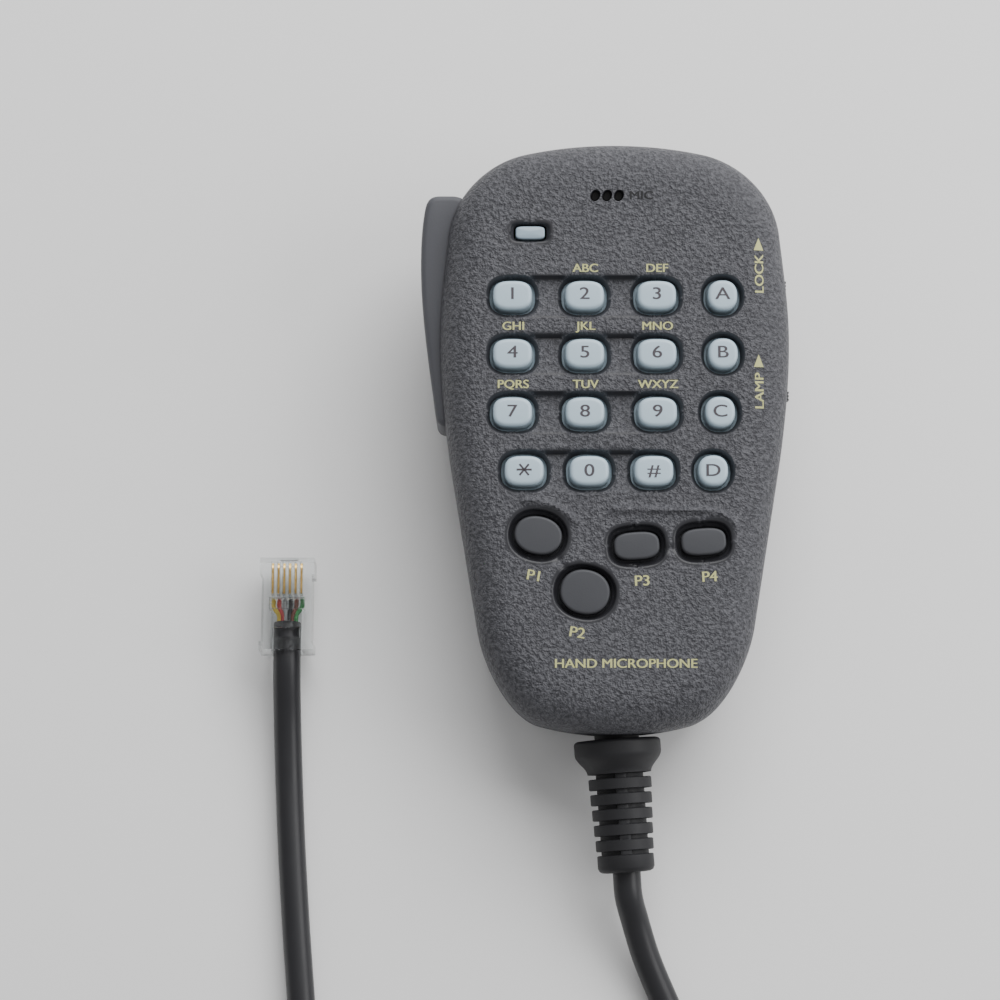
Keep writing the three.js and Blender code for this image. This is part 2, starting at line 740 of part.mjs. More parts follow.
const plugShell = () => {
  const half = plugWidth / 2;
  const rim = 0.45;
  let body = solid(box(plugX - half + rim, plugX + half - rim, plugRear, plugFront, plugBottom, plugTop));
  body = join(body, box(plugX - half, plugX + half, plugRear, plugRear + 1.4, plugBottom, plugTop));
  body = join(body, box(plugX - half, plugX + half, plugFront - 3, plugFront, plugBottom, plugTop));
  for (let i = 0; i < contactCount; i += 1) {
    const x = plugX + (i - (contactCount - 1) / 2) * contactPitch;
    const room = contactThickness / 2 + 0.1;
    body = cut(body, box(x - room, x + room, plugFront - 6.6, plugFront - 0.6, plugTop - 3.3, plugTop + 1));
  }
  body = cut(body, box(plugX - 2.9, plugX + 2.9, plugRear - 1, plugRear + 7, plugBottom + 1.2, plugTop - 1.2));
  return geometryOf(body);
};

const plugContact = (index) => {
  const x = plugX + (index - (contactCount - 1) / 2) * contactPitch;
  const half = contactThickness / 2;
  return box(x - half, x + half, plugFront - 6.3, plugFront - 0.9, plugTop - 3, plugTop - 0.35);
};

// The latch is hinged by its thin front end and slopes down towards the cord.
const plugLatch = () => {
  const points = [
    new THREE.Vector2(plugFront - 0.6, plugBottom - gap),
    new THREE.Vector2(plugFront - 0.6, plugBottom - gap - latchThickness),
    new THREE.Vector2(plugFront - latchBend, latchLow),
    new THREE.Vector2(plugFront - latchLength, latchLow),
    new THREE.Vector2(plugFront - latchLength, latchLow + latchThickness),
    new THREE.Vector2(plugFront - latchBend + 0.1, latchLow + latchThickness + 0.1),
  ];
  const geometry = prism(points, -latchWidth / 2, latchWidth / 2);
  // The drawn plane (along the plug, up) becomes (Y, Z), and the depth becomes X.
  const turn = new THREE.Matrix4().makeBasis(
    new THREE.Vector3(0, 1, 0), new THREE.Vector3(0, 0, 1), new THREE.Vector3(1, 0, 0),
  );
  return geometry.applyMatrix4(turn).translate(plugX, 0, 0);
};

// ---------------------------------------------------------------- cord

const tube = (points, radius, sides, steps) => {
  const section = [];
  for (let i = 0; i < sides; i += 1) {
    const t = ((i + 0.5) / sides) * 2 * Math.PI;
    section.push(new THREE.Vector2(radius * Math.cos(t), radius * Math.sin(t)));
  }
  const route = new THREE.CatmullRomCurve3(points.map((p) => new THREE.Vector3(...p)), false, 'centripetal');
  return new THREE.ExtrudeGeometry(new THREE.Shape(section), { steps, bevelEnabled: false, extrudePath: route });
};

// Place of a point of the case's own frame once the case lies on its back.
const caseLift = -((studY - studHeadRadius) * Math.sin(restingAngle) + studFace * Math.cos(restingAngle));
const caseShiftX = 1.45;
const laid = (x, y, z) => new THREE.Vector3(x, y, z)
  .applyAxisAngle(new THREE.Vector3(1, 0, 0), restingAngle)
  .add(new THREE.Vector3(caseShiftX, 0, caseLift));

const lean = THREE.MathUtils.degToRad(reliefLean);
const reliefEnd = (beyond) => {
  const t = reliefLength + beyond;
  return laid(reliefX + t * Math.sin(lean), -halfHeight - t * Math.cos(lean), reliefZ).toArray();
};

const rest = cordDiameter / 2;
const curlRest = curlDiameter / 2;

// Chosen by hand: out of the strain relief, down to the surface and away to the lower right.
const micEndRoute = [
  reliefEnd(0.3), reliefEnd(4), [4.9, -83, 6.3], [6.8, -89, 4.4], [9.3, -95, 3.0],
  [12, -101, rest], [14.4, -107, 2.6], [15.6, -112.5, 4.6], [15.8, -117.5, 7.0], [15.8, -121, curlRest],
];

const curlRoute = [
  [15.8, -121.3, curlRest], [15.8, -137, curlRest], [15.6, -154, curlRest], [15, -172, curlRest],
  [12.6, -189, curlRest], [6.5, -204, curlRest], [-4.5, -214.5, curlRest], [-18, -218, curlRest],
  [-31.5, -214.5, curlRest], [-42.2, -204.5, curlRest], [-48.3, -190, curlRest], [-50.7, -173, curlRest],
  [-51.3, -153, curlRest], [-51.4, -133.3, curlRest],
];

const plugEndRoute = [
  [-51.4, -133, curlRest], [-51.4, -129, 7.2], [-51.5, -123, 4.8], [-51.8, -117, 3.0],
  [-52.2, -110, rest], [-53.2, -98, rest], [-54.4, -84, rest], [-55.4, -70, rest], [-56.1, -57, 2.7],
  [-56.4, -48, 4.0], [-56.5, -41, 6.0], [plugX, plugRear - 2, plugLift + plugHeight / 2],
  [plugX, plugRear - 0.3, plugLift + plugHeight / 2],
];

// ---------------------------------------------------------------- assembly

const model = new THREE.Group();
const microphone = new THREE.Group();
microphone.rotation.x = restingAngle;
microphone.position.set(caseShiftX, 0, caseLift);
model.add(microphone);

const add = (group, name, geometry, color, roughness, metalness = 0) => {
  const material = new THREE.MeshStandardMaterial({ color, roughness, metalness });
  const mesh = new THREE.Mesh(geometry, material);
  mesh.name = name;
  group.add(mesh);
};

const caseGrey = 0x3a3b3f;
const keyBlue = 0xb2c6d5;
const keyGrey = 0x505257;
const rubber = 0x26272a;
const steel = 0xa9acb0;
const gold = 0xd9ab4c;

add(microphone, 'front_case', geometryOf(frontCase()), caseGrey, 0.6);
add(microphone, 'rear_case', geometryOf(rearCase()), caseGrey, 0.6);
for (const key of keypadKeys) {
  add(microphone, key.name, keypadKey(key), keyBlue, 0.45);
}
for (const key of programKeys) {
  add(microphone, key.name, programKey(key), keyGrey, 0.5);
}
add(microphone, 'light_window', lightWindow(), 0xb4ccd2, 0.2);
add(microphone, 'keypad_mat', keypadMat(), 0x9fa3a6, 0.8);
add(microphone, 'program_mat', programMat(), 0x3a3b3d, 0.8);
add(microphone, 'main_board', mainBoard(), 0x1f6a3c, 0.5);
add(microphone, 'controller_chip', controllerChip(), 0x1b1b1d, 0.5);
add(microphone, 'status_led', statusLed(), 0xe6e8e0, 0.3);
add(microphone, 'mic_boot', micBoot(), rubber, 0.8);
add(microphone, 'mic_capsule', micCapsule(), steel, 0.35, 0.9);
add(microphone, 'ptt_bar', pttBar(), 0x48494e, 0.55);
add(microphone, 'ptt_pin', pttPin(), steel, 0.3, 0.9);
add(microphone, 'ptt_switch', pttSwitch(), 0x222325, 0.5);
add(microphone, 'ptt_plunger', pttPlunger(), 0x8a1f22, 0.5);
for (const slide of slides) {
  add(microphone, `${slide.name}_slide`, slideKnob(slide), 0x2a2b2e, 0.5);
  add(microphone, `${slide.name}_switch`, slideSwitch(slide), steel, 0.4, 0.8);
}
add(microphone, 'up_key', endKey(1), 0x3d3e42, 0.5);
add(microphone, 'down_key', endKey(-1), 0x3d3e42, 0.5);
add(microphone, 'hanger_stud', hangerStud(), 0x2c2d30, 0.5);
add(microphone, 'hanger_screw', hangerScrew(), steel, 0.3, 0.9);
posts.forEach((post, i) => add(microphone, `case_screw_${i + 1}`, caseScrew(post), steel, 0.3, 0.9));
add(microphone, 'strain_relief', strainRelief(), rubber, 0.7);

add(model, 'cord_mic_end', tube(micEndRoute, cordDiameter / 2, 10, 10), rubber, 0.6);
add(model, 'cord_curl', tube(curlRoute, curlDiameter / 2, 12, 22), rubber, 0.6);
add(model, 'cord_plug_end', tube(plugEndRoute, cordDiameter / 2, 10, 18), rubber, 0.6);
add(model, 'plug_shell', plugShell(), 0xdfe8ea, 0.1);
add(model, 'plug_latch', plugLatch(), 0xdfe8ea, 0.1);
for (let i = 0; i < contactCount; i += 1) {
  add(model, `plug_contact_${i + 1}`, plugContact(i), gold, 0.25, 1);
}

export default model;
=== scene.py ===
import math
import bmesh
import bpy
import numpy as np
from bpy.props import FloatProperty, FloatVectorProperty, PointerProperty
from mathutils.geometry import delaunay_2d_cdt
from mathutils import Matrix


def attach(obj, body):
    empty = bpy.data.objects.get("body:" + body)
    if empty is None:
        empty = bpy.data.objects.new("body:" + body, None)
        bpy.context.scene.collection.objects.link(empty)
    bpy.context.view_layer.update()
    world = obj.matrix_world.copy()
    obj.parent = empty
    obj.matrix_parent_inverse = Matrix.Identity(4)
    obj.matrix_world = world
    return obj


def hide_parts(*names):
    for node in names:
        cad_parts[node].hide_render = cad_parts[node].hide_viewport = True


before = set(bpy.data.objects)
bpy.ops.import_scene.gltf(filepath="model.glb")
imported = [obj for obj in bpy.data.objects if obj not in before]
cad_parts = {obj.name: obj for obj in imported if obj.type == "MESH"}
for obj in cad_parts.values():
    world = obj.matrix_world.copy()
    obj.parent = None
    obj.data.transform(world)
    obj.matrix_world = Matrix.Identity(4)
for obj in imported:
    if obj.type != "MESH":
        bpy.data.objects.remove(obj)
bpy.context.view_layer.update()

# Hand microphone: the surfaces, the finishes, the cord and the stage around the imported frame.
# Shapes are worked out in millimetres in the case's own frame (x to the right side, y to the top
# end, z out of the face, zero in the middle of the parting plane). laid() places them in the row
# frame, in metres, where the case lies on its back at a small angle. The cord and the plug are
# worked out in millimetres of the row frame.

bl_info = {
    "name": "Hand Microphone",
    "version": (1, 0, 0),
    "blender": (4, 5, 0),
    "location": "3D View > Sidebar > Hand Microphone",
    "description": "Builds a keypad hand microphone with a curly cord and a clear modular plug",
    "category": "Add Mesh",
}

MM = 0.001
ROOT = "microphone"

# ------------------------------------------------------------------ sizes that the frame also has

HALF_WIDTH, HALF_HEIGHT = 30.65, 51.85
CROWN_RADIUS, CROWN_HALF_SPAN = 75.0, 15.5
FACE_HEIGHT, BACK_DEPTH, WALL, PARTING = 12.7, 13.5, 2.2, 0.15
STUD_Y, STUD_HEAD, STUD_PROUD, HEEL_INSET = 20.0, 7.5, 6.0, 8.6
FLANGE_LOW, FLANGE_TOP, CAVITY_TOP = 8.7, 9.9, 10.4
KEY_X = [(-17.9, -5.4, 7.1, 18.5)] * 2 + [(-17.9, -5.4, 7.1, 17.9), (-15.9, -4.7, 6.4, 16.6)]
KEY_Y = [23.75 - 10.2 * row for row in range(4)]
KEY_NAMES = [("1", "2", "3", "A"), ("4", "5", "6", "B"), ("7", "8", "9", "C"), ("star", "0", "hash", "D")]
KEY_SIZE, LETTER_SIZE = (7.1, 5.5), (5.5, 5.7)
KEY_PROUD, PROGRAM_PROUD = 1.1, 0.3
# Program keys: x, y, width, height, turn in degrees, roundness power, well width, well height.
PROGRAM_KEYS = [
    (-13.5, -17.95, 8.2, 6.5, -12, 2.15, 10.2, 8.9),
    (-5.5, -27.7, 8.5, 7.6, -12, 2.15, 10.7, 9.4),
    (3.4, -19.75, 7.8, 4.7, 4, 2.9, 9.9, 7.1),
    (14.9, -19.05, 7.7, 4.6, 4, 2.9, 9.6, 7.0),
]
WINDOW = (-14.8, 35.05, 5.1, 2.3)
WINDOW_RECESS = (6.8, 3.4)
SLOT_Y, SLOT_X, SLOT_PITCH = 41.55, -1.4, 2.05
BAR_TOP, BAR_LOW, BAR_FRONT, BAR_BACK, BAR_INNER = 43.05, 1.85, 6.5, -7.5, -26.2
PIVOT = (-25.8, 4.25)
SLIDES = [("lock", 27.85), ("lamp", 8.05)]
END_KEY_ANGLE = math.radians(6)
POSTS = [(17.0, 42.05), (15.0, -37.05), (-17.0, 42.05), (-15.0, -37.05)]
ROOM = 0.45

REST_ANGLE = math.atan2(STUD_PROUD, STUD_Y - STUD_HEAD + HALF_HEIGHT - HEEL_INSET)
STUD_FACE = -BACK_DEPTH - STUD_PROUD
LIFT = -((STUD_Y - STUD_HEAD) * math.sin(REST_ANGLE) + STUD_FACE * math.cos(REST_ANGLE))
SHIFT_X = 1.45


def laid(points):
    """Points of the case's frame in millimetres, turned by the resting angle about X and lifted,
    in metres."""
    p = np.asarray(points, float)
    c, s = math.cos(REST_ANGLE), math.sin(REST_ANGLE)
    x, y, z = p[..., 0], p[..., 1], p[..., 2]
    return np.stack([x + SHIFT_X, y * c - z * s, y * s + z * c + LIFT], -1) * MM


# ------------------------------------------------------------------ mesh helpers

def mesh_of(name, verts, faces, smooth=True, sharp=None, outward=False):
    """A mesh from an array of points in metres and a list of faces. outward drops points that no
    face uses and turns the faces outwards; sharp is the angle in degrees past which edges split."""
    mesh = bpy.data.meshes.new(name)
    mesh.from_pydata(np.asarray(verts, float).tolist(), [], faces)
    if outward:
        work = bmesh.new()
        work.from_mesh(mesh)
        loose = [v for v in work.verts if not v.link_faces]
        bmesh.ops.delete(work, geom=loose, context="VERTS")
        bmesh.ops.recalc_face_normals(work, faces=work.faces)
        work.to_mesh(mesh)
        work.free()
    mesh.update()
    if smooth:
        mesh.shade_smooth()
    if sharp is not None:
        mesh.set_sharp_from_angle(angle=math.radians(sharp))
    return mesh


def add_piece(name, mesh, body, material, replaces=()):
    """An object at the origin with one material, on its body, in place of its nodes."""
    obj = bpy.data.objects.new(name, mesh)
    bpy.context.scene.collection.objects.link(obj)
    mesh.materials.clear()
    mesh.materials.append(material)
    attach(obj, body)
    if replaces:
        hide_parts(*replaces)
    return obj


def case_piece(name, part, body, slot, material, replaces=(), **shading):
    """A piece from points and faces in the case's own frame."""
    mesh = mesh_of(name, laid(part[0]), part[1], **shading)
    return add_piece(name, mesh, body, material, replaces)


def row_piece(name, part, body, slot, material, replaces=(), **shading):
    """A piece from points and faces in millimetres of the row frame."""
    mesh = mesh_of(name, part[0] * MM, part[1], outward=True, **shading)
    return add_piece(name, mesh, body, material, replaces)


def ring_faces(rows, count):
    """Quads between rows of a closed grid that has count points round."""
    i, j = np.meshgrid(np.arange(rows - 1), np.arange(count), indexing="ij")
    a = i * count + j
    b = i * count + (j + 1) % count
    return np.stack([a, b, b + count, a + count], -1).reshape(-1, 4).tolist()


def lofted(rings):
    """Points and faces of rings (rows, count, 3) joined in order, with a middle point at each end."""
    rows, count = rings.shape[:2]
    ends = rings[[0, -1]].mean(1)
    k, total, last = np.arange(count), rows * count, (rows - 1) * count
    faces = ring_faces(rows, count)
    faces += np.stack([(k + 1) % count, k, np.full(count, total)], -1).tolist()
    faces += np.stack([last + k, last + (k + 1) % count, np.full(count, total + 1)], -1).tolist()
    return np.vstack([rings.reshape(-1, 3), ends]), faces


def gather(pieces):
    """One list of points and faces from several."""
    verts, faces, start = [], [], 0
    for v, f in pieces:
        verts.append(v)
        faces += [[i + start for i in face] for face in f]
        start += len(v)
    return np.vstack(verts), faces


def turned(x, y, degrees):
    """Plane coordinates turned about zero."""
    a = math.radians(degrees)
    return x * math.cos(a) - y * math.sin(a), x * math.sin(a) + y * math.cos(a)


def oval(width, height, power, x=0.0, y=0.0, turn=0.0, count=64):
    """|x/a|^n + |y/b|^n = 1 as points on a turning angle, turned and moved."""
    t = np.linspace(0, 2 * np.pi, count, endpoint=False)
    px = width / 2 * np.sign(np.cos(t)) * np.abs(np.cos(t)) ** (2 / power)
    py = height / 2 * np.sign(np.sin(t)) * np.abs(np.sin(t)) ** (2 / power)
    px, py = turned(px, py, turn)
    return np.stack([x + px, y + py], -1)


def grown(loop, distance):
    """A counter-clockwise loop moved outwards by a distance along its own normals."""
    step = np.roll(loop, -1, 0) - np.roll(loop, 1, 0)
    normal = np.stack([step[:, 1], -step[:, 0]], -1)
    normal /= np.linalg.norm(normal, axis=1, keepdims=True)
    return loop + normal * distance


def at_height(loop, z):
    """Plane points given a height."""
    return np.column_stack([loop, np.broadcast_to(z, len(loop))])


def slab(loop, low, high, round_low, round_high, crown=0.0, steps=5):
    """A plate from a loop: straight sides, quarter-round edges, and a top that rises by crown in
    the middle. Rings step along the quarter circle: inset = r(1-cos), height = r sin."""
    quarter = np.linspace(0, np.pi / 2, steps)
    rings = [at_height(grown(loop, -round_low * (1 - math.cos(a))), low + round_low * (1 - math.sin(a)))
             for a in quarter[::-1]]
    rings += [at_height(grown(loop, -round_high * (1 - math.cos(a))), high - round_high * (1 - math.sin(a)))
              for a in quarter]
    top = rings[-1][:, :2]
    middle = top.mean(0)
    for f in (0.85, 0.65, 0.4, 0.18):
        rings.append(at_height(middle + (top - middle) * f, high + crown * (1 - f * f)))
    return lofted(np.array(rings))


def spline(points, spacing):
    """A centripetal Catmull-Rom curve through the points, sampled about every spacing."""
    p = np.asarray(points, float)
    p = np.vstack([2 * p[0] - p[1], p, 2 * p[-1] - p[-2]])
    out = []
    for a, b, c, d in zip(p[:-3], p[1:-2], p[2:-1], p[3:]):
        t1 = np.linalg.norm(b - a) ** 0.5
        t2 = t1 + np.linalg.norm(c - b) ** 0.5
        t3 = t2 + np.linalg.norm(d - c) ** 0.5
        n = max(2, int(round(np.linalg.norm(c - b) / spacing)))
        t = np.linspace(t1, t2, n, endpoint=False)[:, None]
        a1 = (t1 - t) / t1 * a + t / t1 * b
        a2 = (t2 - t) / (t2 - t1) * b + (t - t1) / (t2 - t1) * c
        a3 = (t3 - t) / (t3 - t2) * c + (t - t2) / (t3 - t2) * d
        b1 = (t2 - t) / t2 * a1 + t / t2 * a2
        b2 = (t3 - t) / (t3 - t1) * a2 + (t - t1) / (t3 - t1) * a3
        out.append((t2 - t) / (t2 - t1) * b1 + (t - t1) / (t2 - t1) * b2)
    out.append(p[-2:-1])
    return np.vstack(out)


def tube(line, radius, sides=14):
    """A circle carried along a line on frames that turn as little as they can, with domed ends."""
    line = np.asarray(line, float)
    radius = np.broadcast_to(np.asarray(radius, float), len(line))
    step = np.gradient(line, axis=0)
    tangent = step / np.linalg.norm(step, axis=1, keepdims=True)
    normal = np.zeros_like(line)
    start = np.cross(tangent[0], [0.0, 0.0, 1.0] if abs(tangent[0][2]) < 0.9 else [1.0, 0.0, 0.0])
    normal[0] = start / np.linalg.norm(start)
    for i in range(1, len(line)):
        n = normal[i - 1] - tangent[i] * np.dot(normal[i - 1], tangent[i])
        normal[i] = n / np.linalg.norm(n)
    binormal = np.cross(tangent, normal)
    angle = np.linspace(0, 2 * np.pi, sides, endpoint=False)
    c, s = np.cos(angle)[None, :, None], np.sin(angle)[None, :, None]
    ring = c * normal[:, None] + s * binormal[:, None]
    return lofted(line[:, None] + radius[:, None, None] * ring)


# ------------------------------------------------------------------ case outline

def bezier(p, n=120):
    """(1-t)^3 a + 3 (1-t)^2 t b + 3 (1-t) t^2 c + t^3 d for t from 0 up to but not including 1."""
    t = np.linspace(0, 1, n, endpoint=False)[:, None]
    a, b, c, d = (np.array(q, float) for q in p)
    return (1 - t) ** 3 * a + 3 * (1 - t) ** 2 * t * b + 3 * (1 - t) * t ** 2 * c + t ** 3 * d


def half_outline():
    """The left half of the case's outline, from the top down: crown, shoulder, side, taper, heel."""
    w, h = HALF_WIDTH, HALF_HEIGHT
    drop = CROWN_RADIUS - math.sqrt(CROWN_RADIUS ** 2 - CROWN_HALF_SPAN ** 2)
    taper_top, taper_end = (-w + 1.75, -3.8), (-24.1, -h + 18.6)
    curves = [
        bezier([(0, h), (-5.2, h), (-10.3, h - 0.5), (-15.5, h - drop)]),
        bezier([(-15.5, h - drop), (-22.6, h - 3.1), (-w + 1.95, h - 9.4), (-w + 1.45, h - 16.8)]),
        bezier([(-w + 1.45, h - 16.8), (-w + 0.79, h - 22.8), (-w, h - 28.8), (-w, h - 34.5)]),
        bezier([(-w, h - 34.5), (-w, h - 41.8), (-w + 0.75, 3.2), taper_top]),
        np.linspace(taper_top, taper_end, 120, endpoint=False),
        bezier([taper_end, (-23.1, -h + 12.3), (-18.5, -h + 3.4), (-13.5, -h + 1.8)]),
        bezier([(-13.5, -h + 1.8), (-9, -h + 0.55), (-4.5, -h), (0, -h)]),
        [(0, -h)],
    ]
    return np.vstack(curves)


HALF = half_outline()
LOOP = np.vstack([HALF, (HALF[1:-1] * [-1, 1])[::-1]])
CLOSED_LOOP = np.vstack([LOOP, LOOP[:1]])


def distances_along(line):
    """The distance along a line of points at each of them."""
    return np.concatenate([[0], np.cumsum(np.linalg.norm(np.diff(line, axis=0), axis=1))])


def columns_at(at, along, values):
    """Each column of values, known at the distances along, read off at other distances."""
    return np.stack([np.interp(at, along, column) for column in values.T], -1)


LOOP_S = distances_along(CLOSED_LOOP)
PERIMETER = LOOP_S[-1]


def outline_at(s):
    """Points and outward normals of the outline at distances s along it, from the top, left first."""
    step = np.roll(LOOP, -1, 0) - np.roll(LOOP, 1, 0)
    normal = np.stack([step[:, 1], -step[:, 0]], -1) / np.linalg.norm(step, axis=1, keepdims=True)
    n = columns_at(s, LOOP_S, np.vstack([normal, normal[:1]]))
    return columns_at(s, LOOP_S, CLOSED_LOOP), n / np.linalg.norm(n, axis=1, keepdims=True)


def left_s(y):
    """Distance along the outline at which the left side passes a height y."""
    return float(np.interp(-y, -HALF[:, 1], LOOP_S[:len(HALF)]))


def right_s(y):
    """The same on the right side."""
    return PERIMETER - left_s(y)


def half_width_at(y):
    """Distance from the middle line to the outline at a height y."""
    return float(-np.interp(-y, -HALF[:, 1], HALF[:, 0]))


def nearest(a, b):
    """Distance from each point of a to the nearest point of b, in parts that fit in memory."""
    out = np.empty(len(a))
    for i in range(0, len(a), 1500):
        out[i:i + 1500] = np.sqrt(((a[i:i + 1500, None] - b[None]) ** 2).sum(-1).min(1))
    return out


def inset_of(xy):
    """Distance from points to the outline, towards the inside."""
    return nearest(xy, LOOP[::4])


SHOULDER_WIDE, SHOULDER_HIGH, SHOULDER_POWER = 8.5, 7.2, 2.4
FRONT_SIDE_HIGH, BACK_SIDE_LOW = 5.5, 4.0


def face_profile(inset):
    """Height of the face above the parting plane, with a superellipse as its shoulder."""
    u = np.clip((SHOULDER_WIDE - inset) / SHOULDER_WIDE, 0, 1)
    shoulder = (1 - u ** SHOULDER_POWER) ** (1 / SHOULDER_POWER)
    return FRONT_SIDE_HIGH + SHOULDER_HIGH * shoulder


def back_profile(inset):
    """Depth of the back below its straight side, with a quarter of an ellipse as its shoulder."""
    u = np.clip((HEEL_INSET - inset) / HEEL_INSET, 0, 1)
    return -(BACK_SIDE_LOW + (BACK_DEPTH - BACK_SIDE_LOW) * np.sqrt(1 - u ** 2))


# ------------------------------------------------------------------ face relief

# Dished channels: middle, half span between the middles of the round ends, radius.
CHANNELS = [(sum(KEY_X[r][:3:2]) / 2, KEY_Y[r], (KEY_X[r][2] - KEY_X[r][0]) / 2, 3.75) for r in range(4)]
CHANNELS += [(KEY_X[r][3], KEY_Y[r], 0.0, 3.85) for r in range(4)]
CHANNEL_DEPTH, CHANNEL_SHALLOW, CHANNEL_WALL = 1.45, 0.22, 0.8
RIDGES = [
    [(-0.4, -13.5), (5, -13.55), (10, -13.6), (15.2, -13.7), (17.6, -14.1), (19.6, -15.2), (21.0, -16.8)],
    [(-16.0, -12.0), (-13.4, -12.1), (-10.8, -12.9), (-8.6, -14.2), (-7.0, -15.8)],
]
RIDGE_HALF, RIDGE_HEIGHT = 0.6, 0.62
GROOVES = [[(-10.1, -22.0), (-8.7, -23.8)], [(8.2, -20.4), (10.3, -20.2)]]
GROOVE_HALF, GROOVE_DEPTH = 0.75, 0.4
WELL_DEPTH, WINDOW_DEPTH, SCREW_WELL_DEPTH = 1.2, 0.6, 1.9


def channel_distance(xy, channel):
    """Distance inside a pill outline: positive inside."""
    x, y, half, radius = channel
    dx = np.maximum(np.abs(xy[:, 0] - x) - half, 0)
    return radius - np.hypot(dx, xy[:, 1] - y)


def channel_drop(xy):
    """The floor falls from shallow at the lower edge to full depth at the upper edge, behind a wall that is a
    smooth step. Returns the drop and a mask of the smooth wall, which also carries painted shade: it darkens
    the upper wall most, and a thin line round each edge."""
    drop = np.zeros(len(xy))
    wall = np.zeros(len(xy))
    for channel in CHANNELS:
        inside = channel_distance(xy, channel)
        rise = np.clip((xy[:, 1] - channel[1] + channel[3]) / (2 * channel[3]), 0, 1)
        t = np.clip(inside / CHANNEL_WALL, 0, 1)
        depth = CHANNEL_SHALLOW + (CHANNEL_DEPTH - CHANNEL_SHALLOW) * rise ** 0.8
        drop = np.maximum(drop, np.where(inside > 0, depth * t * t * (3 - 2 * t), 0))
        # Painted shade: the mask grows towards the upper wall, where shade falls, and darkens the colour
        # there.
        on_wall = (inside > -0.08) & (inside < CHANNEL_WALL)
        wall = np.maximum(wall, np.where(on_wall, np.clip(1.6 * rise, 0, 1), 0))
        # Painted shade: a thin dark line round the edge of each channel.
        wall = np.maximum(wall, np.where((inside > -0.1) & (inside < 0.3), 0.85, 0))
    return drop, wall


def line_distance(xy, points):
    """Distance from points to a polyline."""
    best = np.full(len(xy), 1e9)
    p = np.asarray(points, float)
    for a, b in zip(p[:-1], p[1:]):
        t = np.clip((xy - a) @ (b - a) / ((b - a) @ (b - a)), 0, 1)
        best = np.minimum(best, np.linalg.norm(xy - a - t[:, None] * (b - a), axis=1))
    return best


def oval_ratio(xy, hole):
    """(|x/a|^n + |y/b|^n)^(1/n) in the oval's own turned axes: 1 on the oval, less inside."""
    width, height, power, x, y, turn = hole[:6]
    u, v = turned(xy[:, 0] - x, xy[:, 1] - y, -turn)
    return ((np.abs(u) / (width / 2)) ** power + (np.abs(v) / (height / 2)) ** power) ** (1 / power)


# Ovals: width, height, roundness power, x, y, turn in degrees, points round.
KEY_POWER, LETTER_POWER, WINDOW_POWER, HOLE_GROWTH = 2.8, 2.3, 4.5, 0.8
KEY_HOLES = [(KEY_SIZE[0] + HOLE_GROWTH, KEY_SIZE[1] + HOLE_GROWTH, KEY_POWER, KEY_X[r][c], KEY_Y[r], 0, 64)
             for r in range(4) for c in range(3)]
KEY_HOLES += [(LETTER_SIZE[0] + HOLE_GROWTH, LETTER_SIZE[1] + HOLE_GROWTH, LETTER_POWER,
               KEY_X[r][3], KEY_Y[r], 0, 64) for r in range(4)]
WELLS = [(w, h, power, x, y, turn, 80) for x, y, _, _, turn, power, w, h in PROGRAM_KEYS]
WELL_HOLES = [(w + HOLE_GROWTH, h + HOLE_GROWTH, power, x, y, turn, 64)
              for x, y, w, h, turn, power, _, _ in PROGRAM_KEYS]
WINDOW_WELL = (*WINDOW_RECESS, WINDOW_POWER, *WINDOW[:2], 0, 64)
WINDOW_HOLE = (WINDOW[2] + 0.6, WINDOW[3] + 0.6, WINDOW_POWER, *WINDOW[:2], 0, 96)
MIC_SLOTS = [(1.35, 1.75, 2.2, SLOT_X + k * SLOT_PITCH, SLOT_Y, -24, 64) for k in (-1, 0, 1)]
# Rims as (distance outside the hole, drop); a well's drop is a part of its depth.
LIP = [(0.78, 0.0), (0.62, 0.06), (0.42, 0.26), (0.22, 0.52), (0.08, 0.8), (0.0, 1.1)]
WELL_EDGE = [(0.5, 0.0), (0.25, 0.02), (0.1, 0.1), (0.0, 0.22), (-0.1, 0.5), (-0.16, 0.85), (-0.28, 1.0)]


def face_height(xy):
    """Height of the face without the lips of the holes: shoulder, channels, ridges and grooves. Returns the
    height and a mask of the smooth places, which also marks painted shade."""
    z = face_profile(inset_of(xy))
    drop, smooth = channel_drop(xy)
    z = z - drop
    for points in RIDGES:
        z += RIDGE_HEIGHT * np.exp(-1.6 * (line_distance(xy, points) / RIDGE_HALF) ** 2)
    for points in GROOVES:
        z -= GROOVE_DEPTH * np.exp(-1.6 * (line_distance(xy, points) / GROOVE_HALF) ** 2)
    return z, smooth


def back_height(xy):
    """Height of the back, which has no relief and no smooth, darkened places (painted shade)."""
    return back_profile(inset_of(xy)), np.zeros(len(xy))


# ------------------------------------------------------------------ case halves

BAND_INSET = 5.5
FRONT_BAND = [(0.12, PARTING), (0.0, PARTING + 0.14), (0, 1.2), (0, 2.15), (0, 2.25), (0, 4.0), (0, 5.5)]
BACK_BAND = [(0.12, -PARTING), (0.0, -PARTING - 0.14), (0, -1.2), (0, -2.15), (0, -2.85), (0, -4.0)]
SCREW_WELLS = [(5.2, 5.2, 2, x, y, 0, 48) for x, y in POSTS]
SCREW_HOLES = [(3.0, 3.0, 2, x, y, 0, 32) for x, y in POSTS]
CROWN_ARC, END_KEY_REACH = CROWN_RADIUS * END_KEY_ANGLE, 4.3 + ROOM
BAR_HOLE_FRONT, BAR_HOLE_BACK, BAR_HOLE_RISE = BAR_FRONT + ROOM, BAR_BACK - ROOM, 1.15
SLIDE_HOLE, END_KEY_HOLE = (-2.15, 2.15), (-2.85, 2.25)
FACE_GRID, BACK_GRID, CLEAR_OF_RINGS = 0.5, 0.9, 0.22


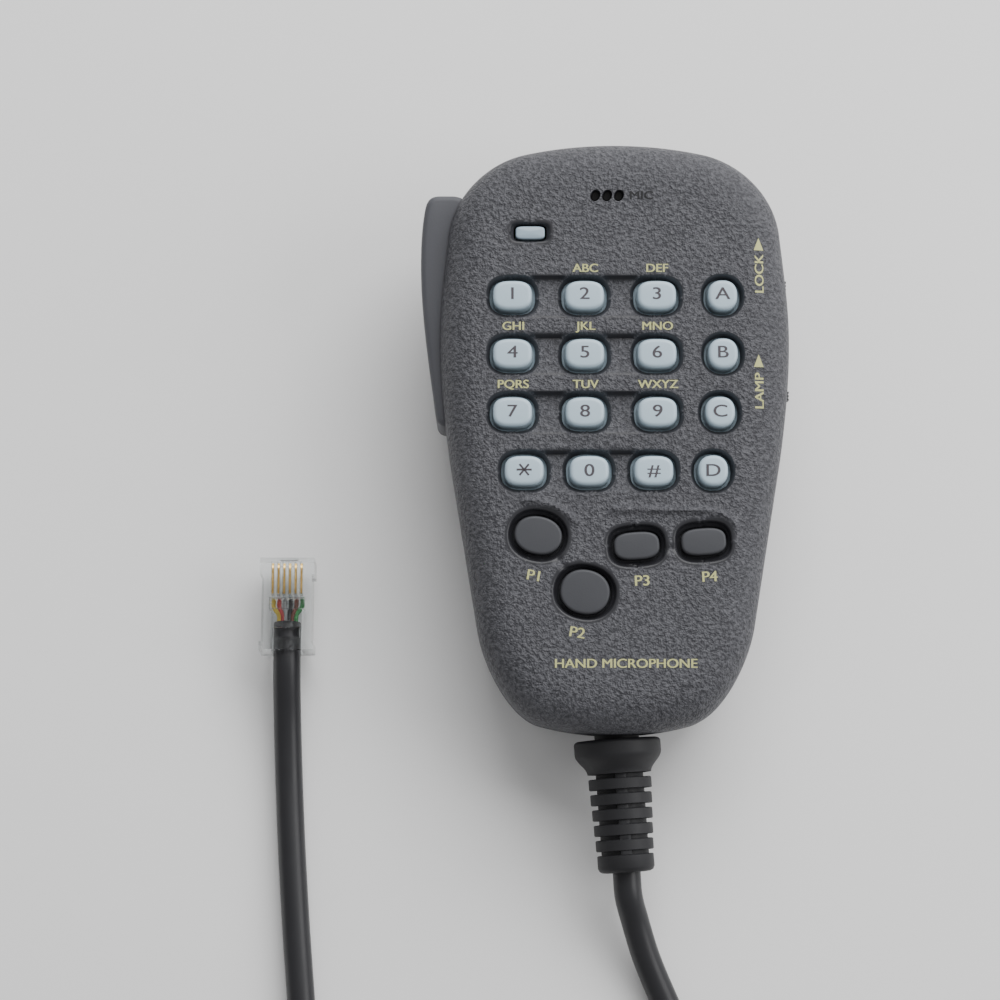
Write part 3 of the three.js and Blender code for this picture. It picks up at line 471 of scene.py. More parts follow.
def band_openings():
    """First and last distance along the outline and lowest and highest z of each opening: the bar,
    the two slides, the two end keys."""
    openings = [(left_s(BAR_TOP + BAR_HOLE_RISE), left_s(BAR_LOW - ROOM), BAR_HOLE_BACK, BAR_HOLE_FRONT)]
    openings += [(right_s(y + 3.5), right_s(y - 1.5), *SLIDE_HOLE) for _name, y in SLIDES]
    openings += [(middle - END_KEY_REACH, middle + END_KEY_REACH, *END_KEY_HOLE)
                 for middle in (CROWN_ARC, PERIMETER - CROWN_ARC)]
    return openings


def band_rows(front):
    """Profile rows of the side band as (inset, z): the straight side, then the shoulder. A row lies
    on the edge of the bar's opening, and the rows too close to it or to the side's end are dropped."""
    inset = BAND_INSET * np.linspace(0, 1, 15)[1:] ** 1.7
    z = (face_profile if front else back_profile)(inset)
    edge = BAR_HOLE_FRONT if front else BAR_HOLE_BACK
    up = slice(None) if front else slice(None, None, -1)
    shoulder = list(zip(inset, z)) + [(float(np.interp(edge, z[up], inset[up])), edge)]
    rows = (FRONT_BAND if front else BACK_BAND) + sorted(shoulder, key=lambda row: abs(row[1]))
    dropped = ((6.95, 7.2), (5.5, 5.9)) if front else ((-8.3, -7.95), (-4.35, -4.0))
    return np.array([row for row in rows if not any(low < row[1] < high for low, high in dropped)])


def inner_of(z, front):
    """Height of the inner surface: level with the outer one past the bar's opening, then in a
    straight proportion down to about one wall behind the end."""
    edge, end = (BAR_HOLE_FRONT, FACE_HEIGHT) if front else (BAR_HOLE_BACK, -BACK_DEPTH)
    inner_end = CAVITY_TOP if front else WALL - BACK_DEPTH
    t = np.clip((z - edge) / (end - edge), 0, 1)
    return np.where(t > 0, edge + t * (inner_end - edge), z)


def hex_grid(step):
    """Points over the case's rectangle in rows that are offset by half a step in turn."""
    x = np.arange(-HALF_WIDTH, HALF_WIDTH, step)
    y = np.arange(-HALF_HEIGHT, HALF_HEIGHT, step * 0.866)
    gx, gy = np.meshgrid(x, y)
    gx = gx + np.where(np.arange(len(y)) % 2, step / 2, 0)[:, None]
    return np.stack([gx.ravel(), gy.ravel()], -1)


def triangulated(points, boundary, holes):
    """Constrained triangles of plane points, inside the boundary ring that the first points make and
    outside the holes."""
    ring = [(i, (i + 1) % boundary) for i in range(boundary)]
    result = delaunay_2d_cdt([tuple(p) for p in points.tolist()], ring, [], 1, 1e-6)
    if len(result[0]) != len(points):
        raise RuntimeError("two points of the face lie on each other")
    triangles = np.array(result[2])
    middle = points[triangles].mean(1)
    solid = np.ones(len(triangles), bool)
    for hole in holes:
        solid &= oval_ratio(middle, hole) > 1
    return triangles[solid]


def side_band(front):
    """The side as an outer and an inner grid of (rows, round) points, with the openings left out.
    A wall closes each place where a kept cell meets a removed one, and the rim. Returns both grids
    and the quads."""
    rows, openings = band_rows(front), band_openings()
    edges = np.array([s for o in openings for s in o[:2]])
    s = np.linspace(0, PERIMETER, 420, endpoint=False)
    s = s[np.abs(s[:, None] - edges[None]).min(1) > 0.25]
    s = np.sort(np.concatenate([s, edges]))
    point, normal = outline_at(s)
    n, m = len(s), len(rows)
    inset, z = rows[:, 0], rows[:, 1]
    inner_inset = WALL + (BAND_INSET - WALL) * np.minimum(inset / BAND_INSET, 1)
    outer, inner = (
        np.concatenate([point[None] - normal[None] * distance[:, None, None],
                        np.broadcast_to(height[:, None, None], (m, n, 1))], -1)
        for distance, height in ((inset, z), (inner_inset, inner_of(z, front))))
    keep = np.ones((m - 1, n), bool)
    middle_s = s + ((np.roll(s, -1) - s) % PERIMETER) / 2
    middle_z = (z[1:] + z[:-1]) / 2
    for first, last, low, high in openings:
        across = (middle_s > first) & (middle_s < last)
        up = (middle_z > low) & (middle_z < high)
        keep &= ~(up[:, None] & across[None])
    i, j = np.meshgrid(np.arange(m - 1), np.arange(n), indexing="ij")
    k = (j + 1) % n
    a, b, c, d = i * n + j, i * n + k, (i + 1) * n + k, (i + 1) * n + j
    shift = m * n
    quads = [np.stack([a, b, c, d], -1)[keep], np.stack([a, d, c, b], -1)[keep] + shift]
    below = np.vstack([np.zeros((1, n), bool), keep])
    above = np.vstack([keep, np.ones((1, n), bool)])
    row, col = np.nonzero(below != above)
    level = (row * n + col, row * n + (col + 1) % n)
    row, col = np.nonzero(keep != np.roll(keep, 1, 1))
    upright = (row * n + col, (row + 1) * n + col)
    quads += [np.stack([e, f, f + shift, e + shift], -1) for e, f in (level, upright)]
    return outer, inner, np.vstack(quads).tolist()


def face_openings(front):
    """The wells of a face with their depths, and every rim as (oval, rim, is a hole, smoothness), where the
    smoothness also darkens the rim as painted shade.
    """
    if not front:
        # Screw wells get partial smoothness, which also darkens them a little: painted shade.
        rims = [(well, WELL_EDGE, False, 0.4) for well in SCREW_WELLS]
        rims += [(hole, LIP[-2:], True, 0.4) for hole in SCREW_HOLES]
        return dict.fromkeys(SCREW_WELLS, SCREW_WELL_DEPTH), rims
    wells = {**dict.fromkeys(WELLS, WELL_DEPTH), WINDOW_WELL: WINDOW_DEPTH}
    # Key holes, slots and wells get full smoothness, which also darkens their lips and floors: painted shade
    # in the recesses.
    rims = [(hole, LIP, True, 1.0) for hole in KEY_HOLES + MIC_SLOTS]
    rims += [(well, WELL_EDGE, False, 1.0) for well in wells]
    rims += [(hole, LIP[-2:], True, 1.0) for hole in WELL_HOLES + [WINDOW_HOLE]]
    return wells, rims


def face_points(front, boundary):
    """Plane points, heights and smoothness of a face, the smoothness also being painted shade: the boundary,
    then the rings of each rim, then a grid clear of them. Also lists each hole with its innermost ring's
    first point and length."""
    height, sign = (face_height, 1) if front else (back_height, -1)
    wells, rims = face_openings(front)
    depth_at = {well[3:5]: depth for well, depth in wells.items()}
    level_at = {centre: float(height(np.array([centre]))[0][0]) for centre in depth_at}
    xy, zs, smooth, holes = [boundary[:, :2]], [boundary[:, 2]], [np.zeros(len(boundary))], []
    count = len(boundary)
    for oval_sizes, rim, is_hole, gloss in rims:
        loop, centre = oval(*oval_sizes), oval_sizes[3:5]
        scale = 0.25 if oval_sizes in MIC_SLOTS else min(1.0, oval_sizes[1] / 4)
        for offset, drop in rim:
            ring = grown(loop, offset * scale)
            if oval_sizes in wells:
                depth = drop * depth_at[centre]
            else:
                depth = depth_at[centre] + drop * 0.3 if centre in depth_at else drop
            on_floor = centre in depth_at and (offset < 0 or oval_sizes not in wells)
            base = np.full(len(ring), level_at[centre]) if on_floor else height(ring)[0]
            xy.append(ring)
            zs.append(base - sign * depth)
            # Rings near a rim take its smoothness, which also darkens them: painted shade.
            smooth.append(np.full(len(ring), gloss if offset < 0.7 else 0.0))
            if is_hole and offset == 0:
                holes.append((count, len(ring), oval_sizes))
            count += len(ring)
    fixed = np.vstack(xy)
    grid = hex_grid(FACE_GRID if front else BACK_GRID)
    grid = grid[inset_of(grid) > BAND_INSET + 0.5]
    for oval_sizes in [rim[0] for rim in rims if rim[0] not in wells]:
        grid = grid[oval_ratio(grid, oval_sizes) > 1]
    grid = grid[nearest(grid, fixed) > CLEAR_OF_RINGS]
    grid_z, grid_smooth_and_shade = height(grid)
    for well, depth in wells.items():
        inside = oval_ratio(grid, well) < 1
        grid_z[inside] = level_at[well[3:5]] - sign * depth
        # Well floors are fully smooth and darkened: painted shade.
        grid_smooth_and_shade[inside] = 1.0
    xy = np.vstack([fixed, grid])
    return xy, np.concatenate(zs + [grid_z]), np.concatenate(smooth + [grid_smooth_and_shade]), holes


def case_half(front):
    """One half of the case as a closed shell: a band round the side, a face, an inner surface with the same
    boundary and holes, and the walls of the holes. Returns points, faces and the mask of the smooth places,
    which also darkens them as painted shade."""
    outer, inner, faces = side_band(front)
    m, n = outer.shape[:2]
    shift = m * n
    xy, zs, smooth, holes = face_points(front, outer[-1])
    ovals = [hole[2] for hole in holes]
    point = np.arange(len(xy))
    # The face's points after its boundary follow the two grids of the band.
    face_index = np.where(point < n, shift - n + point, 2 * shift - n + point)
    faces += face_index[triangulated(xy, n, ovals)].tolist()
    inner_xy = xy[np.concatenate([np.arange(n)] + [np.arange(a, a + c) for a, c, _ in holes])]
    point = np.arange(len(inner_xy))
    inner_index = np.where(point < n, 2 * shift - n + point, 2 * shift - 2 * n + len(xy) + point)
    faces += inner_index[triangulated(inner_xy, n, ovals)][:, ::-1].tolist()
    level = (face_height if front else back_height)(inner_xy)[0]
    level = inner_of(level + channel_drop(inner_xy)[0] * front, front)
    at = n
    for first, count, _oval in holes:
        k = np.arange(count)
        top0, top1 = face_index[first + k], face_index[first + (k + 1) % count]
        low0, low1 = inner_index[at + k], inner_index[at + (k + 1) % count]
        faces += np.stack([top0, top1, low1, low0], -1).tolist()
        at += count
    inner_face = np.column_stack([inner_xy, level])[n:]
    verts = np.vstack([outer.reshape(-1, 3), inner.reshape(-1, 3), np.column_stack([xy, zs])[n:], inner_face])
    # The inner surface is marked fully smooth, which also darkens it: painted shade.
    return verts, faces, np.concatenate([np.zeros(2 * shift), smooth[n:], np.ones(len(inner_face))])


def build_case_half(name, front, material):
    """One half of the case with its smooth, darkened places (painted shade) in an attribute. Prints how many
    edges are open.
    """
    verts, faces, mask = case_half(front)
    mesh = bpy.data.meshes.new(name)
    mesh.from_pydata(laid(verts).tolist(), [], faces)
    # The smooth attribute carries both the smoothness and painted shade.
    smooth = mesh.attributes.new("smooth", "FLOAT", "POINT")
    smooth.data.foreach_set("value", mask.astype(np.float32))
    work = bmesh.new()
    work.from_mesh(mesh)
    bmesh.ops.recalc_face_normals(work, faces=work.faces)
    open_edges = sum(len(edge.link_faces) != 2 for edge in work.edges)
    work.to_mesh(mesh)
    work.free()
    print(name, len(mesh.polygons), "faces, open edges", open_edges)
    mesh.shade_smooth()
    mesh.set_sharp_from_angle(angle=math.radians(48))
    return add_piece(name, mesh, ROOT, material, [name.replace("_shell", "_case")])


# ------------------------------------------------------------------ finishes

def node_group(name, inputs, outputs):
    """An empty shader group with named sockets. Each input is (name, kind, default)."""
    group = bpy.data.node_groups.new(name, "ShaderNodeTree")
    for socket, kind, default in inputs:
        made = group.interface.new_socket(socket, in_out="INPUT", socket_type=kind)
        made.default_value = default
    for socket, kind in outputs:
        group.interface.new_socket(socket, in_out="OUTPUT", socket_type=kind)
    return group, group.nodes.new("NodeGroupInput"), group.nodes.new("NodeGroupOutput")


def feed(group, socket, value):
    """Link a socket, or set it to a plain value."""
    if isinstance(value, bpy.types.NodeSocket):
        group.links.new(value, socket)
    else:
        socket.default_value = value


def mix_colour(group, factor, a, b, blend="MIX"):
    """A mixed with B by the factor."""
    mix = group.nodes.new("ShaderNodeMix")
    mix.data_type, mix.blend_type = "RGBA", blend
    for place, value in ((0, factor), (6, a), (7, b)):
        feed(group, mix.inputs[place], value)
    return mix.outputs[2]


def maths(group, operation, a, b=0.0, clamp=False):
    """One maths node."""
    node = group.nodes.new("ShaderNodeMath")
    node.operation, node.use_clamp = operation, clamp
    feed(group, node.inputs[0], a)
    feed(group, node.inputs[1], b)
    return node.outputs[0]


def noise(group, vector, scale, detail=3.0, rough=0.5):
    """Fractal noise around one half."""
    node = group.nodes.new("ShaderNodeTexNoise")
    for name, value in (("Vector", vector), ("Scale", scale), ("Detail", detail), ("Roughness", rough)):
        feed(group, node.inputs[name], value)
    return node.outputs["Fac"]


def bump(group, height, strength, distance):
    """A normal from a height; the distance is in metres."""
    node = group.nodes.new("ShaderNodeBump")
    for name, value in (("Height", height), ("Strength", strength), ("Distance", distance)):
        feed(group, node.inputs[name], value)
    return node.outputs["Normal"]


SURFACE = [("Color", "NodeSocketColor"), ("Roughness", "NodeSocketFloat"), ("Normal", "NodeSocketVector")]


def finish_group(group, out, colour, given_roughness, change, normal):
    """Feed the group's outputs; the roughness is the given one and a change."""
    group.links.new(colour, out.inputs["Color"])
    roughness = maths(group, "ADD", given_roughness, change, clamp=True)
    group.links.new(roughness, out.inputs["Roughness"])
    group.links.new(normal, out.inputs["Normal"])


def make_leather_group():
    """Moulded leather grain: wrinkles between warped cells, their low places darkened as painted shade, faded
    out where the mask says smooth; there the colour is darkened as painted shade in the recesses and the
    gloss is higher.
    """
    group, given, out = node_group("leather_grain", [
        ("Color", "NodeSocketColor", (0.1, 0.1, 0.1, 1)), ("Roughness", "NodeSocketFloat", 0.5),
        ("Smooth", "NodeSocketFloat", 0.0), ("Scale", "NodeSocketFloat", 1800.0),
    ], SURFACE)
    place = group.nodes.new("ShaderNodeTexCoord").outputs["Object"]
    warp = noise(group, place, 900.0, 2.0)
    shift = group.nodes.new("ShaderNodeVectorMath")
    shift.operation = "MULTIPLY_ADD"
    spread = group.nodes.new("ShaderNodeCombineXYZ")
    for socket in spread.inputs:
        group.links.new(warp, socket)
    group.links.new(spread.outputs[0], shift.inputs[0])
    shift.inputs[1].default_value = (0.0006, -0.0005, 0.0004)
    group.links.new(place, shift.inputs[2])
    cells = group.nodes.new("ShaderNodeTexVoronoi")
    cells.feature = "DISTANCE_TO_EDGE"
    group.links.new(shift.outputs[0], cells.inputs["Vector"])
    group.links.new(given.outputs["Scale"], cells.inputs["Scale"])
    pebble = maths(group, "MULTIPLY", cells.outputs["Distance"], 1.5, clamp=True)
    folds = maths(group, "SUBTRACT", noise(group, place, 1500.0, 2.5, 0.6), 0.36)
    folds = maths(group, "MULTIPLY", folds, 3.4, clamp=True)
    height = maths(group, "ADD", maths(group, "MULTIPLY", pebble, 0.35),
                   maths(group, "MULTIPLY", folds, 0.65))
    rough_part = maths(group, "SUBTRACT", 1.0, given.outputs["Smooth"], clamp=True)
    broad = maths(group, "MULTIPLY", noise(group, place, 45.0), 0.35)
    light = mix_colour(group, broad, given.outputs["Color"], (0.14, 0.14, 0.155, 1))
    # Painted shade: the grain's low places, the creases between cells and the folds, darken to about a third
    # of the colour.
    dark = mix_colour(group, 1.0, light, (0.34, 0.34, 0.36, 1), "MULTIPLY")
    grain_with_crease_shade = mix_colour(group, maths(group, "MULTIPLY", height, 1.25, clamp=True), dark, light)
    # Painted shade: where the mask says smooth, in wells, lips and channel walls, the colour falls to 0.3 of
    # itself.
    smooth_painted_shade_colour = mix_colour(group, 1.0, given.outputs["Color"], (0.3, 0.3, 0.31, 1), "MULTIPLY")
    change = maths(group, "MULTIPLY_ADD", rough_part, 0.16)
    change.node.inputs[2].default_value = -0.16
    finish_group(group, out, mix_colour(group, rough_part, smooth_painted_shade_colour, grain_with_crease_shade), given.outputs["Roughness"],
                 change, bump(group, height, rough_part, 0.00028))
    return group


def make_moulded_group():
    """Fine moulded surface: a low speckle in the height, and slow patches in colour and gloss."""
    group, given, out = node_group("moulded_surface", [
        ("Color", "NodeSocketColor", (0.1, 0.1, 0.1, 1)), ("Roughness", "NodeSocketFloat", 0.5),
        ("Spread", "NodeSocketFloat", 0.1), ("Scale", "NodeSocketFloat", 4000.0),
        ("Depth", "NodeSocketFloat", 0.2),
    ], SURFACE)
    place = group.nodes.new("ShaderNodeTexCoord").outputs["Object"]
    patches = noise(group, place, 160.0, 4.0, 0.6)
    speckle = noise(group, place, given.outputs["Scale"], 2.0, 0.6)
    both = maths(group, "ADD", maths(group, "MULTIPLY", patches, 0.6), maths(group, "MULTIPLY", speckle, 0.4))
    dark = mix_colour(group, given.outputs["Spread"], given.outputs["Color"], (0, 0, 0, 1))
    change = maths(group, "MULTIPLY", maths(group, "SUBTRACT", patches, 0.5), 0.22)
    finish_group(group, out, mix_colour(group, both, dark, given.outputs["Color"]),
                 given.outputs["Roughness"], change, bump(group, speckle, given.outputs["Depth"], 0.00004))
    return group


def make_brushed_group():
    """Turned or drawn metal: streaks along one axis in gloss and height."""
    group, given, out = node_group("drawn_metal", [
        ("Color", "NodeSocketColor", (0.6, 0.6, 0.6, 1)), ("Roughness", "NodeSocketFloat", 0.3),
        ("Scale", "NodeSocketFloat", 900.0),
    ], SURFACE)
    place = group.nodes.new("ShaderNodeTexCoord").outputs["Object"]
    stretch = group.nodes.new("ShaderNodeMapping")
    stretch.inputs["Scale"].default_value = (1.0, 0.12, 1.0)
    group.links.new(place, stretch.inputs["Vector"])
    streaks = noise(group, stretch.outputs[0], given.outputs["Scale"], 4.0, 0.65)
    dark = mix_colour(group, 0.3, given.outputs["Color"], (0, 0, 0, 1))
    change = maths(group, "MULTIPLY", maths(group, "SUBTRACT", streaks, 0.5), 0.3)
    finish_group(group, out, mix_colour(group, streaks, dark, given.outputs["Color"]),
                 given.outputs["Roughness"], change, bump(group, streaks, 0.12, 0.00003))
    return group


GROUP_MAKERS = {"leather_grain": make_leather_group, "moulded_surface": make_moulded_group,
                "drawn_metal": make_brushed_group}


def group_of(name):
    """A shader group made once."""
    return bpy.data.node_groups.get(name) or GROUP_MAKERS[name]()


def finish_of(name, group, colour, roughness, metallic=0.0, coat=0.0, mask=None, **values):
    """A material made once: the Principled shader with a group feeding colour, roughness and normal."""
    known = bpy.data.materials.get(name)
    if known:
        return known
    material = bpy.data.materials.new(name)
    material.use_nodes = True
    tree = material.node_tree
    shader = tree.nodes["Principled BSDF"]
    shader.inputs["Metallic"].default_value = metallic
    shader.inputs["Coat Weight"].default_value = coat
    shader.inputs["Coat Roughness"].default_value = 0.25
    shader.inputs["Specular IOR Level"].default_value = 0.5 if metallic else 0.34
    effect = tree.nodes.new("ShaderNodeGroup")
    effect.node_tree = group_of(group)
    effect.inputs["Color"].default_value = (*colour, 1)
    effect.inputs["Roughness"].default_value = roughness
    for key, value in values.items():
        effect.inputs[key].default_value = value
    # The mask carries smoothness and painted shade into the group.
    if mask:
        attribute = tree.nodes.new("ShaderNodeAttribute")
        attribute.attribute_name = mask
        tree.links.new(attribute.outputs["Fac"], effect.inputs["Smooth"])
    for output, socket in (("Color", "Base Color"), ("Roughness", "Roughness"), ("Normal", "Normal")):
        tree.links.new(effect.outputs[output], shader.inputs[socket])
    return material


def clear_plastic():
    """Clear polycarbonate: plain transmission, and fine flow marks in gloss and height."""
    known = bpy.data.materials.get("clear_polycarbonate")
    if known:
        return known
    material = bpy.data.materials.new("clear_polycarbonate")
    material.use_nodes = True
    tree = material.node_tree
    shader = tree.nodes["Principled BSDF"]
    shader.inputs["Base Color"].default_value = (0.95, 0.97, 0.97, 1)
    shader.inputs["Transmission Weight"].default_value = 1.0
    shader.inputs["IOR"].default_value = 1.45
    place = tree.nodes.new("ShaderNodeTexCoord").outputs["Object"]
    flow = noise(tree, place, 420.0, 3.0)
    tree.links.new(maths(tree, "MULTIPLY", flow, 0.12), shader.inputs["Roughness"])
    tree.links.new(bump(tree, flow, 0.1, 0.00005), shader.inputs["Normal"])
    return material


def plastic(name, colour, roughness, spread=0.25, scale=4200.0, depth=0.25, coat=0.0):
    """Moulded plastic, rubber, print or felt."""
    return finish_of(name, "moulded_surface", colour, roughness, coat=coat,
                     Spread=spread, Scale=scale, Depth=depth)


def metal(name, colour, roughness, scale=900.0):
    """Turned or drawn metal."""
    return finish_of(name, "drawn_metal", colour, roughness, metallic=1.0, Scale=scale)


# ------------------------------------------------------------------ lettering

# The capitals of Blender's own font are 0.729 high; each stroke is drawn twice, this far each way.
CAP_HEIGHT, STROKE_GROWTH = 0.729, 0.045


def lettering(text, height, stretch=1.0):
    """Points and faces of a flat text with its middle at zero. height is that of its capitals."""
    curve = bpy.data.curves.new("lettering", "FONT")
    curve.body = text
    curve.align_x, curve.align_y = "LEFT", "TOP_BASELINE"
    holder = bpy.data.objects.new("lettering", curve)
    bpy.context.scene.collection.objects.link(holder)
    made = bpy.data.meshes.new_from_object(holder)
    verts = np.empty(len(made.vertices) * 3)
    made.vertices.foreach_get("co", verts)
    faces = [list(p.vertices) for p in made.polygons]
    bpy.data.objects.remove(holder)
    bpy.data.curves.remove(curve)
    bpy.data.meshes.remove(made)
    verts = verts.reshape(-1, 3)
    middle = [(verts[:, 0].min() + verts[:, 0].max()) / 2, CAP_HEIGHT / 2, 0]
    verts = (verts - middle) * height / CAP_HEIGHT * [stretch, 1, 1]
    return gather([(verts + [-STROKE_GROWTH, 0, 0], faces), (verts + [STROKE_GROWTH, 0, 0.003], faces)])


def asterisk():
    """A level bar and two crossed bars."""
    pieces = []
    for angle, length in ((0, 2.6), (50, 2.5), (-50, 2.5)):
        x, y = (np.array([(-1, -1), (1, -1), (1, 1), (-1, 1)]) * [length / 2, 0.17]).T
        pieces.append((at_height(np.stack(turned(x, y, angle), -1), 0.0), [[0, 1, 2, 3]]))
    return gather(pieces)


def placed(part, x, y, turn=0.0):
    """A part turned about zero and moved."""
    verts, faces = part
    px, py = turned(verts[:, 0], verts[:, 1], turn)
    return np.column_stack([x + px, y + py, verts[:, 2]]), faces


# Letter groups above the keys: text, column, row. Program labels: text, x, y, turn in degrees.
LETTER_GROUPS = [("ABC", 1, 0), ("DEF", 2, 0), ("GHI", 0, 1), ("JKL", 1, 1), ("MNO", 2, 1),
                 ("PQRS", 0, 2), ("TUV", 1, 2), ("WXYZ", 2, 2)]
PROGRAM_LABELS = [("P1", -14.3, -24.8, -10), ("P2", -6.8, -34.6, -10), ("P3", 4.3, -25.7, 2),
                  ("P4", 15.9, -25.0, 3)]


def arrow_mark(x, y, half, long):
    """A triangle pointing to the top end, in a grid of strips that can follow a rounded surface:
    the width falls in proportion to the height."""
    lines = 7
    t = np.linspace(0, 0.97, lines)
    across = np.linspace(-1, 1, lines)
    grid = np.stack([x + (1 - t)[:, None] * half * across,
                     np.broadcast_to(y + t[:, None] * long, (lines, lines))], -1)
    i, j = np.meshgrid(np.arange(lines - 1), np.arange(lines - 1), indexing="ij")
    a = i * lines + j
    faces = np.stack([a, a + 1, a + lines + 1, a + lines], -1).reshape(-1, 4)
    return at_height(grid.reshape(-1, 2), 0.0), faces.tolist()


def on_face(parts, lift):
    """Flat parts laid over the face's relief, lifted a little off it."""
    verts, faces = gather(parts)
    verts[:, 2] += face_height(verts[:, :2])[0] + lift
    return verts, faces


def build_labels():
    """The printing on the case as one mesh, and the letters beside the slots as another."""
    parts = [placed(lettering(text, 1.5, 1.12), KEY_X[row][col] + 0.15, KEY_Y[row] + 5.0)
             for text, col, row in LETTER_GROUPS]
    parts += [placed(lettering(text, 1.85, 1.1), x, y, turn) for text, x, y, turn in PROGRAM_LABELS]
    for text, y, x in (("LOCK", 27.8, 24.9), ("LAMP", 7.2, 24.7)):
        parts.append(placed(lettering(text, 1.6, 1.18), x, y, 90))
        parts.append(arrow_mark(x, y + 4.1, 0.85, 2.2))
    parts.append(placed(lettering("HAND MICROPHONE", 1.6, 1.15), 1.5, -39.9))
    ink = plastic("printed_ink", (0.56, 0.56, 0.25), 0.55, 0.15, 6000.0, 0.1)
    case_piece("printed_labels", on_face(parts, 0.03), ROOT, "case_plastic", ink, smooth=False)
    parts = [placed(lettering("MIC", 1.5, 1.2), 4.6, SLOT_Y + 0.1)]
    shade = plastic("moulded_letters", (0.012, 0.012, 0.014), 0.5)
    case_piece("moulded_letters", on_face(parts, 0.06), ROOT, "case_plastic", shade, smooth=False)


# ------------------------------------------------------------------ keys

def key_solid(width, height, power, x, y, turn, top, round_edge, crown, draft=0.0):
    """A flange under the wall, sides that lean in by the draft on their way up, a quarter-round
    edge and a domed top: height = top + crown (1 - f^2) for a ring at the fraction f of the edge."""
    loop = oval(width, height, power, x, y, turn, 72)
    flange = ((1.15, FLANGE_LOW), (1.2, FLANGE_LOW + 0.05), (1.2, FLANGE_TOP - 0.05), (1.15, FLANGE_TOP),
              (0, FLANGE_TOP))
    rings = [at_height(grown(loop, growth), z) for growth, z in flange]
    for a in np.linspace(0, np.pi / 2, 8):
        inset = draft + round_edge * (1 - math.cos(a))
        rings.append(at_height(grown(loop, -inset), top - round_edge * (1 - math.sin(a))))
    edge = rings[-1][:, :2]
    middle = np.array([x, y])
    for f in (0.94, 0.82, 0.66, 0.48, 0.3, 0.14):
        rings.append(at_height(middle + (edge - middle) * f, top + crown * (1 - f * f)))
    return lofted(np.array(rings))


KEY_CROWN, KEY_ROUND, KEY_DRAFT = 0.07, 0.7, 0.2
PROGRAM_CROWN, PROGRAM_ROUND = 0.08, 0.45
LEGEND_LIFT = (0.35, 0.3, 0.2, 0.1)
LEGENDS = {"hash": "#"}


def build_keys():
    """Twelve number keys and four letter keys, each with its legend lying just over its dome."""
    pale = plastic("pale_blue_key", (0.5, 0.63, 0.72), 0.34, 0.12, 5200.0, 0.16, coat=0.15)
    ink = plastic("legend_ink", (0.085, 0.075, 0.085), 0.5, 0.2, 6000.0, 0.1)
    top = FACE_HEIGHT + KEY_PROUD - KEY_CROWN
    for row in range(4):
        for x, name in zip(KEY_X[row], KEY_NAMES[row]):
            y, node = KEY_Y[row], f"key_{name}"
            size, power = (LETTER_SIZE, LETTER_POWER) if name in "ABCD" else (KEY_SIZE, KEY_POWER)
            part = key_solid(*size, power, x, y, 0, top, KEY_ROUND, KEY_CROWN, KEY_DRAFT)
            case_piece(node + "_top", part, node + "_cap", "key_plastic", pale, [node], sharp=50)
            text = asterisk() if name == "star" else lettering(LEGENDS.get(name, name), 2.2, 1.25)
            verts, faces = placed(text, x, y + LEGEND_LIFT[row])
            verts[:, 2] += top + KEY_CROWN + 0.012
            case_piece(node + "_legend", (verts, faces), node + "_cap", "key_plastic", ink, smooth=False)


def build_program_keys():
    """Four dark keys in round wells."""
    grey = plastic("program_key_grey", (0.062, 0.064, 0.072), 0.5, 0.2, 3800.0, 0.3)
    for i, (x, y, w, h, turn, power, *_well) in enumerate(PROGRAM_KEYS, 1):
        part = key_solid(w, h, power, x, y, turn, FACE_HEIGHT + PROGRAM_PROUD - PROGRAM_CROWN,
                         PROGRAM_ROUND, PROGRAM_CROWN)
        node = f"program_key_{i}"
        case_piece(node + "_top", part, node + "_cap", "program_key_plastic", grey, [node], sharp=50)


def build_mic_screen():
    """Black felt plugs a little below the face in the three microphone slots."""
    parts = [slab(oval(w - 0.06, h - 0.06, power, x, y, turn, count), 11.3, 12.15, 0.05, 0.1)
             for w, h, power, x, y, turn, count in MIC_SLOTS]
    felt = plastic("black_felt", (0.004, 0.004, 0.004), 0.95, 0.3, 6000.0, 0.6)
    case_piece("mic_felt", gather(parts), ROOT, "black_rubber", felt)


def build_window():
    """The frosted light window, a domed plate."""
    x, y, w, h = WINDOW
    loop = oval(w, h, WINDOW_POWER, x, y, 0, 64)
    part = slab(loop, FLANGE_LOW, FACE_HEIGHT - 0.35, 0.05, 0.35, 0.12)
    frosted = plastic("frosted_window", (0.36, 0.46, 0.54), 0.25, 0.1, 5000.0, 0.1, coat=0.3)
    case_piece("window_lens", part, ROOT, "window_plastic", frosted, ["light_window"], sharp=50)


# ------------------------------------------------------------------ press-to-talk bar, slides, end keys

def bowed(a, b, c):
    """A parabola from a to c that leans towards b, as a cubic."""
    a, b, c = (np.array(q, float) for q in (a, b, c))
    return bezier([a, a + 2 / 3 * (b - a), c + 2 / 3 * (b - c), c], 40)


